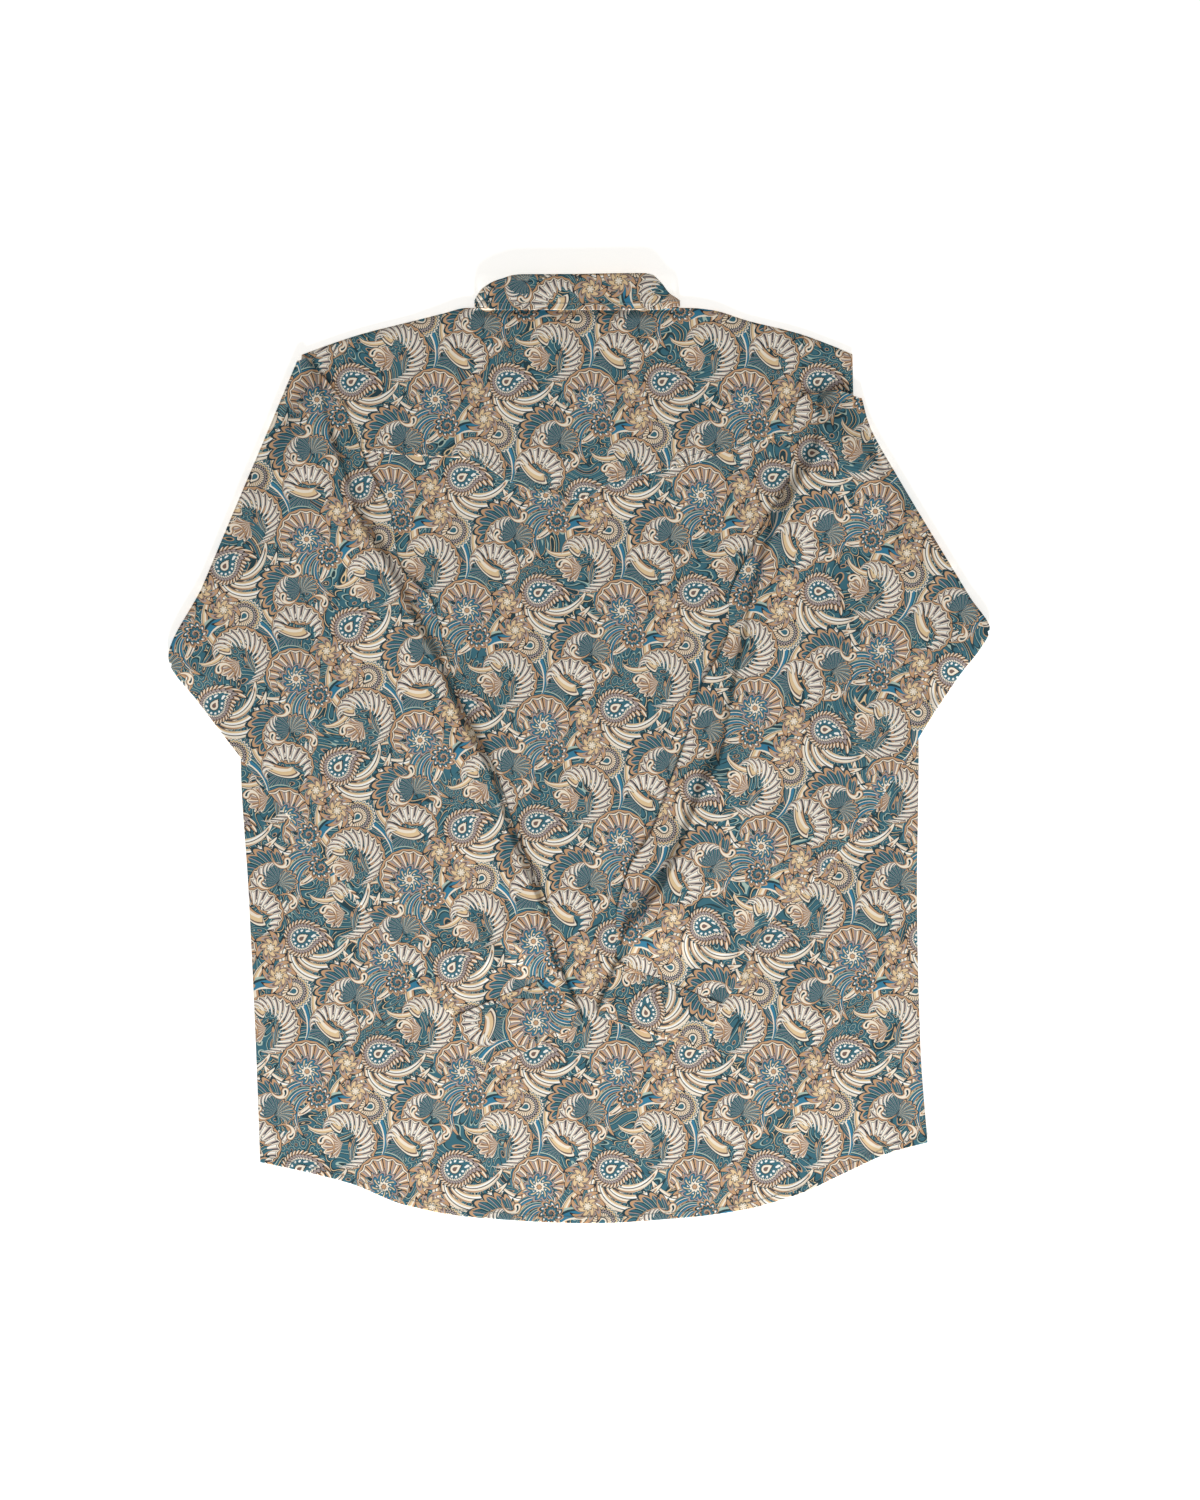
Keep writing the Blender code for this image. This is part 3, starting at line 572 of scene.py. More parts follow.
# Ground: small pebbles and leaves in rings of fine lines, bent by a slow wave so that they flow
PEBBLE_SIZE = 10.5
PEBBLE_RINGS, PEBBLE_SPREAD = 0.8, 0.3  # of the rings' inks, how far they run, and how much they differ
WAVE_SIZE = 42.0
WAVE = 0.05  # metres, the whole reach of the noise
wave = add("TexNoise", cloth_map, None, 1 / WAVE_SIZE / MM, 0.0, noise_dimensions="2D").outputs["Color"]
flow = add("VectorMath", wave, (WAVE, WAVE, 0.0), cloth_map, operation="MULTIPLY_ADD")
pebbles = add("TexVoronoi", flow, None, 1 / PEBBLE_SIZE / MM, voronoi_dimensions="2D")
chance = add("SeparateColor", pebbles.outputs["Color"])
spread = add("Math", chance, PEBBLE_SPREAD, operation="MULTIPLY")
rings = add("Math", pebbles.outputs["Distance"], PEBBLE_RINGS, spread, operation="MULTIPLY_ADD")
printed = add("ValToRGB", rings, inks=PEBBLE)

# Centres of the main motifs, in millimetres
plume = place(72, 60)
small_plume = place(12, 86)
tail = place(132, 56)
eyed_drop = place(32, 36)
beaded_drop = place(98, 94)
rosette = place(110, 20)
shell = place(50, 102)

# Feather fans, under all the rest
motif(place(84, 28), outline(52, 40, FAN), GOLD_EDGE, barbs=(26, 2.4, 0.16, TEAL_BARB, 0.0, 0.84))
motif(tail, outline(50, 190, FAN), GOLD_EDGE, barbs=(24, -2.2, 0.16, DARK_BARB, 0.0, 0.86))
motif(beaded_drop, outline(48, -20, FAN), GOLD_EDGE, barbs=(26, -2.0, 0.16, DARK_BARB, 0.0, 0.86))
motif(rosette, outline(52, -60, FAN, 12, 0.4), PALE_EDGE, curl=0.35, barbs=(12, 0.0, 0.24, LEAF, 0.0, 0.86))

# Horns and sickle leaves, partly under the fans that follow
motif(shell, outline(36, 80, ARC_OUT), HORN, outline(36, 80, ARC_IN), curl=0.7)
motif(beaded_drop, outline(42, 30, ARC_OUT), HORN, outline(42, 30, ARC_IN), curl=-0.6)
motif(place(70, 12), outline(30, 140, ARC_OUT), HORN, outline(30, 140, ARC_IN), curl=0.9)
motif(small_plume, outline(44, 30, ARC_OUT), HORN, outline(44, 30, ARC_IN), curl=-0.7)
motif(rosette, outline(33, 150, ARC_OUT), SICKLE, outline(33, 150, ARC_IN), curl=0.3)
motif(plume, outline(48, -70, ARC_OUT), SICKLE, outline(48, -70, ARC_IN), curl=-0.5)
motif(eyed_drop, outline(54, 210, FAN, 12, 0.4), PALE_EDGE, curl=-0.4, barbs=(12, 0.0, 0.24, LEAF, 0.0, 0.86))
leaves = (12, 0.0, 0.24, COOL_LEAF, 0.0, 0.86)
motif(shell, outline(46, 90, FAN, 12, 0.36), GOLD_EDGE, curl=-0.5, barbs=leaves)
motif(small_plume, outline(44, 140, FAN), GOLD_EDGE, barbs=(24, -2.0, 0.16, DARK_BARB, 0.0, 0.86))

# Curled drops: one with an eye in a fringe, one with a beaded band
fringe = ((0.0, "brown"), (0.24, "gold"), (0.5, "cream"), (0.8, "gold"))
fringe = (30, 0.6, 0.16, fringe, 0.74, 0.9)
pearls = (11, 0.37, 0.26, "white")
motif(eyed_drop, outline(35, 40, DROP_SHAPE), EYED_DROP, curl=0.28, barbs=fringe, pearls=pearls)
fringe = (26, 1.0, 0.14, ((0.0, "rust"), (0.3, "cream"), (0.7, "sand")), 0.28, 0.5)
pearls = (26, 0.63, 0.3, "brown")
motif(beaded_drop, outline(31, 190, DROP_SHAPE), BEADED_DROP, curl=-0.3, barbs=fringe, pearls=pearls)

# Crescent plumes: a rib with lobed barbs that curl inwards from it, so q runs inwards, and a fan in the
# hollow of three of them
barbs = (25, 2.8, 1.1, PALE_BARB, 0.3, 0.9)
motif(plume, outline(21, 190, FAN), PALE_EDGE, barbs=(18, 1.2, 0.2, WARM_BARB, 0.0, 0.86))
motif(plume, outline(34, 10, BARB), PLUME, outline(34, 10, RIB), barbs=barbs, pearls=(56, 0.11, 0.1, "brown"))
barbs = (22, -2.8, 1.1, PALE_BARB, 0.3, 0.9)
motif(small_plume, outline(19, 20, FAN), GOLD_EDGE, barbs=(18, 1.2, 0.2, TEAL_BARB, 0.0, 0.86))
motif(small_plume, outline(31, 200, BARB), PLUME, outline(31, 200, RIB), barbs=barbs)
barbs = (20, 2.4, 1.1, PALE_BARB, 0.3, 0.9)
motif(tail, outline(29, 80, BARB), PLUME, outline(29, 80, RIB), curl=0.35, barbs=barbs)
barbs = (18, -1.4, 0.6, WARM_BARB, 0.3, 0.9)
motif(rosette, outline(30, 20, BARB), PLUME, outline(30, 20, RIB), curl=-0.3, barbs=barbs)

# Rosette with white dots, and a shell with a spiral
spokes = (9, 0.0, 0.0, ((0.0, "sand"), (0.1, "teal"), (0.9, "sand")), 0.36, 0.7)
pearls = (9, 0.56, 0.16, "white")
motif(rosette, outline(15, 0, CIRCLE, 9, 0.3), ROSETTE, curl=0.6, barbs=spokes, pearls=pearls)
spiral = ((0.0, "brown"), (0.1, "gold"), (0.3, "lilac"), (0.4, "teal"), (0.86, "deep"))
spiral = (1, 2.6, 0.0, spiral, 0.12, 0.82)
pearls = (10, 0.66, 0.16, "white")
motif(shell, outline(13, 0, CIRCLE, 10, 0.25), SHELL, curl=-0.5, barbs=spiral, pearls=pearls)

# Petal sprays and tendrils between them
motif(place(84, 108), outline(18, 12, CIRCLE, 7, 0.7), PETALS, curl=0.9)
motif(place(4, 28), outline(17, 40, CIRCLE, 6, 0.7), PETALS, curl=-0.9)
tendrils = ((52, 62, 19, 90, 1.4), (138, 92, 18, 200, -1.5), (90, 2, 19, 300, 1.5), (24, 66, 18, 10, -1.4))
for x, y, size, turn, curl in tendrils:
    motif(place(x, y), outline(size, turn, TENDRIL), CURL, curl=curl)

# Plain weave: threads both ways, with painted shade between them, and a little raised
threads = add("VectorMath", cloth_map, (2 * np.pi / THREAD / MM,) * 3, operation="MULTIPLY")
weave = add("SeparateXYZ", add("VectorMath", threads, operation="SINE"))
weave = add("Math", weave.outputs["X"], weave.outputs["Y"], operation="MULTIPLY")
shade = add("Math", weave, 0.5 * WEAVE_SHADE, 1.0 - 0.5 * WEAVE_SHADE, operation="MULTIPLY_ADD")
raised = add("Bump", 0.25, 0.3 * MM, None, weave)
matt = (("Roughness", 0.84), ("Sheen Weight", 0.06), ("Sheen Roughness", 0.5), ("Normal", raised))
inked = add("VectorMath", printed, shade, operation="MULTIPLY")
add("OutputMaterial", add("BsdfPrincipled", inked, named=matt))


def body_plan(across, down, top, bottom):
    """X and Y of a panel's grid between the side edges, and from its top line down to its bottom line."""
    u, v = np.meshgrid(across, down)
    left = side_edge("left", top[0][1] * (1 - v) + bottom[0][1] * v)
    right = side_edge("right", top[-1][1] * (1 - v) + bottom[-1][1] * v)
    x = left + (right - left) * u
    return x, line(top, x) * (1 - v) + line(bottom, x) * v


def shift(rows, by):
    """A line of the pattern moved up."""
    return tuple((x, y + by) for x, y in rows)


def make_sheet(name, x, y, upper, lower, prints):
    """A closed sheet from one grid in the plan and the heights of its two faces."""
    points = np.concatenate((stack(x, y, upper).reshape(-1, 3), stack(x, y, lower).reshape(-1, 3)))
    prints = prints.reshape(-1, 2)
    return put_mesh(name, points, sheet_faces(*x.shape), np.concatenate((prints, prints)))


UNDERLAP = 7.0  # the back runs on under the yoke's turned edge
UNDERLAP_DROP = 0.35  # and lies this much lower there
x, y = body_plan(spaced(620.0), spaced(690.0), shift(YOKE_SEAM, UNDERLAP), HEM)
upper = back_surface(x, y) - UNDERLAP_DROP * rise(-2.0, 1.0, y - line(YOKE_SEAM, x))
back = make_sheet("back_panel", x, y, upper, upper - LAYER, turned(x, y, 0.0))
dress(back, ["back"], cotton)

# Sewing thread: spun polyester, soft and matt, in a grey teal that sinks into the print
THREAD_INK = "#7b8b8a"
THREAD_DARK = "#56696c"
FUZZ_SIZE = 0.8
thread = start_material("spun_polyester_thread")
fuzz = add("TexNoise", add("TexCoord").outputs["Object"], None, 1 / FUZZ_SIZE / MM, 2.0).outputs[0]
soft = (("Roughness", 0.7), ("Sheen Weight", 0.2), ("Normal", add("Bump", 0.3, 0.1 * MM, None, fuzz)))
colour = add("MixRGB", fuzz, linear(THREAD_DARK), linear(THREAD_INK))
add("OutputMaterial", add("BsdfPrincipled", colour, named=soft))

# Topstitching, with stitches as long as real ones, in thread drawn about twice as thick so that it shows
STITCH = 3.1
THREAD_RADIUS = 0.24
STITCH_ENDS = np.array((-0.42, -0.32, 0.32, 0.42))  # rings of a stitch, as shares of its length
STITCH_HEIGHTS = np.array((-0.3, 0.1, 0.1, -0.3))
STITCH_SIDES = 6


def stitch_row(x, y, z, out=1.0):
    """Points of the stitches along a path on a face that looks up, or down where out is -1. Each stitch is
    four rings of six points, at even steps of the path's length, and its ends dip into the cloth."""
    path = stack(x, y, z)
    run = np.append(0.0, np.cumsum(np.linalg.norm(np.diff(path, axis=0), axis=1)))
    count = int(run[-1] / STITCH)
    at = (np.arange(count)[:, None] + 0.5 + STITCH_ENDS) * run[-1] / count
    middle = np.stack([np.interp(at, run, path[:, k]) for k in range(3)], axis=-1)
    facing = np.interp(at[:, 0], run, np.broadcast_to(out, run.shape))
    up = stack(0.0 * facing, 0.0 * facing, np.where(facing < 0, -1.0, 1.0))
    ahead = middle[:, -1] - middle[:, 0]
    ahead = ahead / np.linalg.norm(ahead, axis=1, keepdims=True)
    sideways = np.cross(ahead, up)
    sideways = (sideways / np.linalg.norm(sideways, axis=1, keepdims=True))[:, None, None]
    outwards = np.cross(sideways, ahead[:, None, None])
    angle = 2 * np.pi * np.arange(STITCH_SIDES)[:, None] / STITCH_SIDES
    ring = THREAD_RADIUS * (np.cos(angle) * sideways + np.sin(angle) * outwards)
    return middle[:, :, None] + STITCH_HEIGHTS[:, None, None] * outwards + ring


def sew_thread(name, *rows):
    """One mesh of all the stitches: each a tube of four rings, closed by two faces at each end."""
    points = np.concatenate(rows)
    ring = np.arange(STITCH_SIDES)
    ahead = np.roll(ring, -1)
    last = ring.size * (STITCH_ENDS.size - 1)
    starts = np.arange(0, last, ring.size)[:, None]
    tube = (starts + ring, starts + ring.size + ring, starts + ring.size + ahead, starts + ahead)
    end = np.array(((0, 1, 2, 3), (0, 3, 4, 5)))
    one = np.concatenate((np.stack(tube, -1).reshape(-1, 4), end, last + end[:, ::-1]))
    faces = (one + points[0].size // 3 * np.arange(len(points))[:, None, None]).reshape(-1, 4)
    return dress(put_mesh(name, points.reshape(-1, 3), faces), [], thread)


x = np.linspace(side_edge("left", -378.0) + 3.0, side_edge("right", -360.0) - 3.0, 700)
y = line(HEM, x) + HEM_STITCHING
hem_thread = sew_thread("hem_stitching", stitch_row(x, y, back_surface(x, y)))

# ---------------------------------------------------------------- yoke
# One-point western yoke of the same cotton. Its lower edge is turned under and sewn on top of the back, and
# its shoulder edges are sewn to the fronts.
YOKE_RIDGE = 0.2  # the turning under its lower edge
YOKE_PUCKER = 0.12
YOKE_ROUND = 0.7
SHOULDER_ROUND = 5.0
YOKE_STITCHING = (1.8, 7.6)  # two rows, this far above the edge
NECK_HOLLOW = 2.0  # the yoke dips at the collar's edge
NECK_DIP = (396.5, 401.0)  # over these Y
NECK_TOP = 6.9  # and rises inside it to the stand
NECK_STEP = (401.9, 403.9)
YOKE_CREASES = (
    (-205.0, 318.0, 160.0, 70.0, 9.0, 0.5),
    (-118.0, 352.0, 30.0, 80.0, 9.0, 0.4),
    (196.0, 322.0, 62.0, 80.0, 10.0, -0.7),
    (176.0, 330.0, 62.0, 80.0, 9.0, 0.6),
    (120.0, 372.0, 14.0, 70.0, 8.0, 0.4),
    (0.0, 300.0, 88.0, 80.0, 9.0, 0.4),
)


def yoke_surface(x, y):
    """Outer face of the yoke: the back's height and one step, a ridge and puckers over its turned edge, and
    at the neck a dip outside the collar and a rise inside it."""
    seam, shoulder = y - line(YOKE_SEAM, x), line(SHOULDERS, x) - y
    ridge = YOKE_RIDGE * np.exp(-((seam / 7.0) ** 2))
    pucker = YOKE_PUCKER * np.exp(-(((seam - 4.0) / 5.0) ** 2)) * np.sin(x / 1.7 + 1.5 * np.sin(x / 19.0))
    z = back_top(x, y) + YOKE_STEP + ridge + pucker + slack(x, y, 0.4) * rise(0.0, 12.0, shoulder)
    z = z + folds(YOKE_CREASES, x, y) * rise(0.0, 20.0, shoulder)
    z = z - rounding(seam, YOKE_ROUND) - SIDE_DROP * rounding(shoulder, SHOULDER_ROUND) / SHOULDER_ROUND
    at_neck = 1.0 - rise(NECK_HALF - 4.0, NECK_HALF + 10.0, abs(x - CENTRE))
    z = z - NECK_HOLLOW * rise(*NECK_DIP, y) * at_neck
    return z + (NECK_TOP - z) * rise(*NECK_STEP, y) * at_neck


x, y = body_plan(spaced(520.0, step=3.2), spaced(125.0, step=3.2), SHOULDERS, YOKE_SEAM)
upper = yoke_surface(x, y)
yoke = make_sheet("back_yoke", x, y, upper, upper - LAYER, turned(x, y, 0.0, (31.0, 18.0)))
dress(yoke, ["yoke"], cotton)
x = np.linspace(-256.0, 252.0, 900)
y = line(YOKE_SEAM, x)
rows = [stitch_row(x, y + up, yoke_surface(x, y + up)) for up in YOKE_STITCHING]
yoke_thread = sew_thread("yoke_topstitching", *rows)

# ---------------------------------------------------------------- fronts
# Left and right front of the same cotton, hidden underneath. The left one carries the outer lap with its
# stitched placket, the right one the under lap, and the snaps hold them shut.
FRONT_NECK = (
    (-91.0, 402.0),
    (-79.0, 366.0),
    (-59.0, 343.0),
    (-35.0, 330.0),
    (0.0, 325.0),
    (35.0, 330.0),
    (55.0, 343.0),
    (75.0, 366.0),
    (87.0, 402.0),
)
HEM_TUCK = 1.0  # the fronts end this far inside the back's edge
FRONT_PLANS = {
    "left": {"inner": CENTRE + LAP_HALF, "corner": -381.0, "start": (44.0, 9.0)},
    "right": {"inner": CENTRE - LAP_HALF, "corner": -364.0, "start": (7.0, 61.0)},
}
FRONT_LIFTS = (
    (-190.0, -180.0, 70.0, 160.0, 16.0, 0.45),
    (-150.0, 60.0, 100.0, 130.0, 14.0, 0.4),
    (-220.0, -320.0, 60.0, 90.0, 12.0, 0.4),
    (-110.0, 240.0, 130.0, 90.0, 12.0, 0.35),
    (190.0, -210.0, 108.0, 170.0, 16.0, 0.45),
    (150.0, 40.0, 82.0, 130.0, 14.0, 0.4),
    (230.0, -300.0, 124.0, 80.0, 12.0, 0.4),
    (120.0, 250.0, 48.0, 90.0, 12.0, 0.35),
)
FRONT_ROUND = 0.45
RESTS = 0.25  # undersides lie on their stitches, just off the floor
STITCH_CLEAR = 0.34
PLACKET_STEP = 0.22
PLACKET_STITCHING = (2.5, 33.5)  # from the lap's edge
PLACKET_ENDS = (318.0, -424.0)
HEM_START = 38.0
under_front = {"left": left_front_under, "right": right_front_under}
for side, plan in FRONT_PLANS.items():
    # Columns by their distance from the middle, closest at both edges, with a jump at the end of the neckline
    beyond_neck = np.concatenate(([253.0, 252.6, 252.0, 251.1], np.linspace(249.8, 96.0, 40)))
    by_neck = np.concatenate((np.linspace(87.5, -LAP_HALF + 2.0, 36), -LAP_HALF + np.array([1.2, 0.5, 0.0])))
    from_centre = np.concatenate((beyond_neck, by_neck))
    across = 1.0 - (from_centre + LAP_HALF) / (from_centre[0] + LAP_HALF)
    u, v = np.meshgrid(across, spaced(790.0, step=5.0))
    outer = side_edge(side, SHOULDER_END * (1 - v) + plan["corner"] * v)
    outer = outer - np.sign(outer) * HEM_TUCK
    x = outer + (plan["inner"] - outer) * u
    neckline = np.where(abs(x - CENTRE) < NECK_HALF - 2.0, line(FRONT_NECK, x) - 1.2, line(SHOULDERS, x))
    y = (neckline - 0.2) * (1 - v) + (line(HEM, x) + HEM_TUCK) * v
    under = under_front[side](x, y)
    hem, edge = y - line(HEM, x) - HEM_TUCK, abs(plan["inner"] - x)
    placket = PLACKET_STEP * (1 - rise(2 * LAP_HALF, 2 * LAP_HALF + 1.2, edge)) * (side == "left")
    lift = rise(2 * LAP_HALF + 4.0, 2 * LAP_HALF + 30.0, edge) * rise(4.0, 20.0, hem)
    under = under + lift * folds(FRONT_LIFTS, x, y)
    soften = sum(rounding(inwards, FRONT_ROUND) for inwards in (hem, edge, abs(x - outer)))
    lower, upper = np.maximum(under - placket + soften, RESTS), under + FRONT_WALL - soften
    front = make_sheet("front_panel_" + side, x, y, upper, lower, turned(x, y, 0.0, plan["start"]))
    dress(front, ["front_" + side], cotton)

    # The placket's two rows on the outer lap, and the hem's row
    rows = []
    for from_edge in PLACKET_STITCHING * (side == "left"):
        y = np.linspace(*PLACKET_ENDS, 300)
        x = np.full_like(y, plan["inner"] - from_edge)
        rows.append(stitch_row(x, y, left_front_under(x, y) - PLACKET_STEP, -1.0))
    x = np.linspace(side_edge(side, -375.0), plan["inner"] - HEM_START * np.sign(plan["inner"] - CENTRE), 400)
    y = line(HEM, x) + HEM_DEPTH + HEM_TUCK
    rows.append(stitch_row(x, y, np.maximum(under_front[side](x, y), STITCH_CLEAR), -1.0))
    front_thread = sew_thread("front_stitching_" + side, *rows)

# ---------------------------------------------------------------- collar
# Turned-down western collar of two interlined layers: a stand sewn round the neck, and a fall that turns over
# it to two long points, which lie underneath. The free edge is topstitched.
COLLAR_HALF = 94.5
COLLAR_HEIGHT = 10.5
STAND_WALL = 1.3
COLLAR_COLUMNS = ("around", "edge", "fold_left", "fold_right", "seam")
COLLAR = (
    (0.0, 402.0, 435.2, 435.2, 404.9),
    (50.0, 402.0, 435.0, 436.0, 404.9),
    (60.0, 402.0, 434.0, 436.0, 404.9),
    (68.0, 402.0, 431.4, 435.0, 404.9),
    (76.0, 402.5, 428.8, 428.6, 404.9),
    (86.0, 404.4, 423.0, 416.5, 405.0),
    (97.5, 404.9, 411.5, 411.0, 405.1),
    (108.0, 400.5, 408.5, 408.5, 403.5),
    (119.0, 350.0, 395.0, 395.0, 373.0),
    (133.0, 288.0, 377.0, 377.0, 349.0),
    (145.0, 300.0, 369.0, 369.0, 340.0),
    (163.0, 319.0, 360.0, 360.0, 331.5),
    (185.0, 339.0, 354.0, 354.0, 326.5),
)
COLLAR_STITCH = 6.0  # from its edge
FALL_END = 185.0
STAND_END = 192.6
STAND_HEIGHT = 40.0
THICKENS = 0.82
FALL_ROUND = 0.75
FALL_BEND = (1.8, 0.16)  # radius of its fold, in millimetres and at most as a share of its depth
FALL_SWELL = 0.35  # between its edge and its fold
FALL_DENTS = (
    (-86.0, 7.0, 38.0, 26.0, 2.0, -1.3),
    (-46.0, 16.0, 80.0, 26.0, 8.0, -0.4),
    (-12.0, 12.0, 100.0, 24.0, 9.0, 0.35),
    (30.0, 14.0, 76.0, 24.0, 9.0, -0.35),
    (66.0, 12.0, 118.0, 24.0, 7.0, 0.4),
    (128.0, 40.0, 70.0, 60.0, 10.0, -0.3),
)
collar = table(COLLAR_COLUMNS, COLLAR)


def ring_point(around, inset):
    """X and Z on a flattened ring, at a distance from the centre back, moved inwards by the inset."""
    radius = COLLAR_HEIGHT / 2
    flat = COLLAR_HALF - radius
    turn = np.clip((abs(around) - flat) / radius, 0.0, np.pi)
    after = np.maximum(abs(around) - flat - np.pi * radius, 0.0)
    x = np.minimum(abs(around), flat) - after + (radius - inset) * np.sin(turn)
    return CENTRE + np.sign(around) * x, radius + (radius - inset) * np.cos(turn)


def collar_edge(s):
    """Y of the fall's free edge, at a distance round from the centre back."""
    return curve(collar["around"], collar["edge"], abs(s))


def collar_fold(s):
    """Y of the fold, which isn't the same on both sides."""
    left = curve(collar["around"], collar["fold_left"], abs(s))
    return np.where(s < 0, left, curve(collar["around"], collar["fold_right"], abs(s)))


def fall_point(s, t, outside):
    """A point of the fall's outer or inner face, t of the way from its free edge to its fold. Near the fold
    it thickens over the stand and rounds over."""
    low, high = collar_edge(s), collar_fold(s)
    depth = high - low
    thick = FALL_WALL + GAP + STAND_WALL
    bend = np.minimum(FALL_BEND[0], FALL_BEND[1] * depth)
    end = FALL_END - abs(s)
    soft = rise(0.0, 8.0, t * depth) * rise(0.0, 5.0, (1 - t) * depth)
    dents = folds(FALL_DENTS, s, t * depth) + slack(s, t * depth * 2.0, 0.4)
    if outside:
        inset = rounding(t * depth, FALL_ROUND) + rounding((1 - t) * depth, bend) + rounding(end, 0.7)
        inset = inset - soft * (dents + FALL_SWELL * np.sin(np.pi * t))
    else:
        wide = FALL_WALL + (thick - FALL_WALL) * rise(THICKENS, THICKENS + 0.04, t)
        inset = wide - rounding(t * depth, FALL_ROUND) - rounding((1 - t) * depth, bend) * 0.85
        inset = inset - rounding(end, 0.7)
    x, z = ring_point(s, inset)
    return stack(x, low + depth * t, np.maximum(z, RESTS))


around = (np.arange(0.0, 88.0, 1.6), np.linspace(88.5, 106.5, 18), np.arange(108.0, 183.5, 1.6))
around = np.concatenate((*around, [184.2, 184.7, FALL_END]))
around = np.concatenate((-around[:0:-1], around))
share = (0.0, 0.008, 0.02, 0.04, 0.07, *np.linspace(0.11, 0.79, 22), 0.83, 0.87, 0.9, 0.93, 0.955, 0.975)
share = np.array((*share, 0.99, 1.0))
s, t = np.meshgrid(around, share)
points = np.concatenate([fall_point(s, t, outside).reshape(-1, 3) for outside in (True, False)])
prints = turned(s, collar_edge(s) + (collar_fold(s) - collar_edge(s)) * t, 90.0, (12.0, 40.0)).reshape(-1, 2)
fall = put_mesh("collar_fall_cloth", points, sheet_faces(*s.shape)[:, ::-1], np.tile(prints, (2, 1)))
dress(fall, ["collar_fall"], cotton)

# One row of topstitching inside the fall's edge, round both points: the highest points of all the circles of
# that radius round the points of the edge
s = np.arange(-180.0, 180.1, 0.8)
near = np.linspace(-COLLAR_STITCH, COLLAR_STITCH, 49)
row = (collar_edge(s[:, None] + near) + np.sqrt(COLLAR_STITCH**2 - near**2)).max(axis=1)
t = np.minimum((row - collar_edge(s)) / (collar_fold(s) - collar_edge(s)), 0.9)
x, y, z = np.moveaxis(fall_point(s, t, True), -1, 0)
z = np.maximum(z, STITCH_CLEAR)
collar_thread = sew_thread("collar_topstitching", stitch_row(x, y, z, z - 0.5 * COLLAR_HEIGHT))

around = (np.arange(0.0, 88.0, 4.0), np.linspace(89.0, 106.0, 14), np.arange(108.0, 192.0, 3.0))
around = np.concatenate((*around, [STAND_END]))
around = np.concatenate((-around[:0:-1], around))
s, t = np.meshgrid(around, np.linspace(0, 1, 12))
top_line = collar_edge(s) + THICKENS * (collar_fold(s) - collar_edge(s)) - 0.4
low_line = np.minimum(curve(collar["around"], collar["seam"], abs(s)), top_line - 1.0)
faces = []
for inset in (FALL_WALL + GAP, FALL_WALL + GAP + STAND_WALL):
    x, z = ring_point(s, inset)
    faces.append(stack(x, low_line + (top_line - low_line) * t, z).reshape(-1, 3))
prints = np.tile(turned(s, STAND_HEIGHT * t, 90.0).reshape(-1, 2), (2, 1))
stand = put_mesh("collar_stand_cloth", np.concatenate(faces), sheet_faces(*s.shape)[:, ::-1], prints)
dress(stand, ["collar_stand"], cotton)

# ---------------------------------------------------------------- sleeves
# Each sleeve is a flattened tube of the same cotton. Its head is folded under at the shoulder, so the sleeve
# lies across the back, and along its inner edge the under side shows past the upper one, in a soft roll.
TOUCHING = 0.001  # points nearer than this are one
ARMHOLE_GAP = 0.9
HOLLOW = (0.62, 0.38)  # top and bottom of a tube's inside, as shares of its height
SLEEVE_LAYER = 1.3
ROLL_HEIGHT = 7.0
FOLD_BULGE = 2.2
NOTCH = 1.0
INNER_ROUND, OUTER_ROUND = 0.6, 1.2
DROOP = 35.0  # beside the body a sleeve comes down over this width
FREE_DROP = 0.93  # share of its height that it loses there
FULL_WIDTH = 110.0  # where a sleeve is narrower, its ledge and roll are too
SETTLE = 0.55  # share of the roll's height that it loses at the cuff
SLEEVE_COLUMNS = ("along", "outer", "inner", "ledge")
SLEEVES = {
    "left": {
        "side": -1.0,
        "tip": (-257.1, 360.2),
        "lean": 22.9,
        "corner": 215.0,
        "grain": 30.0,
        "start": (20.0, 47.0),
        "rows": (
            (4.0, 4.2, -5.0, 4.0),
            (60.0, 61.5, -20.0, 25.0),
            (110.0, 113.0, -18.0, 21.0),
            (160.0, 164.0, -21.0, 28.0),
            (215.0, 220.8, -10.0, 9.0),
            (255.0, 210.7, -24.0, 21.0),
            (305.0, 197.8, -17.0, 9.0),
            (360.0, 182.5, -12.0, 4.0),
            (425.0, 164.0, -17.0, 4.0),
            (490.0, 143.5, -12.0, 4.0),
            (545.0, 131.5, -14.0, 5.0),
            (590.0, 118.0, -5.0, 4.0),
            (614.0, 106.0, -2.0, 3.0),
        ),
    },
    "right": {
        "side": 1.0,
        "tip": (251.6, 360.2),
        "lean": 21.6,
        "corner": 190.0,
        "grain": -31.0,
        "start": (63.0, 12.0),
        "rows": (
            (34.0, 22.0, -3.0, 5.0),
            (56.0, 39.0, -32.0, 30.0),
            (90.0, 80.0, -25.0, 26.0),
            (130.0, 132.0, -13.0, 8.0),
            (168.0, 182.0, -18.0, 9.0),
            (190.0, 210.5, -20.0, 10.0),
            (240.0, 198.7, -25.0, 19.0),
            (287.0, 188.6, -12.0, 16.0),
            (340.0, 179.4, -19.0, 31.0),
            (385.0, 170.0, -13.0, 34.0),
            (430.0, 155.5, -12.0, 28.0),
            (475.0, 139.0, -11.0, 29.0),
            (510.0, 122.0, -18.0, 34.0),
            (545.0, 116.0, -16.0, 24.0),
            (575.0, 113.0, -7.0, 6.0),
            (598.0, 109.0, 4.0, 3.0),
        ),
    },
}
ROLL_COLUMNS = ("beyond", "rise")  # distance past the ledge, share of the roll's height
ROLL = ((0.0, 1.0), (16.0, 1.0), (36.0, 0.62), (62.0, 0.2), (90.0, 0.0))
ROLL_RADIUS = 3.2
OUTER_STEPS = (0.0, 0.003, 0.008, *np.linspace(0.016, 1.0, 46))
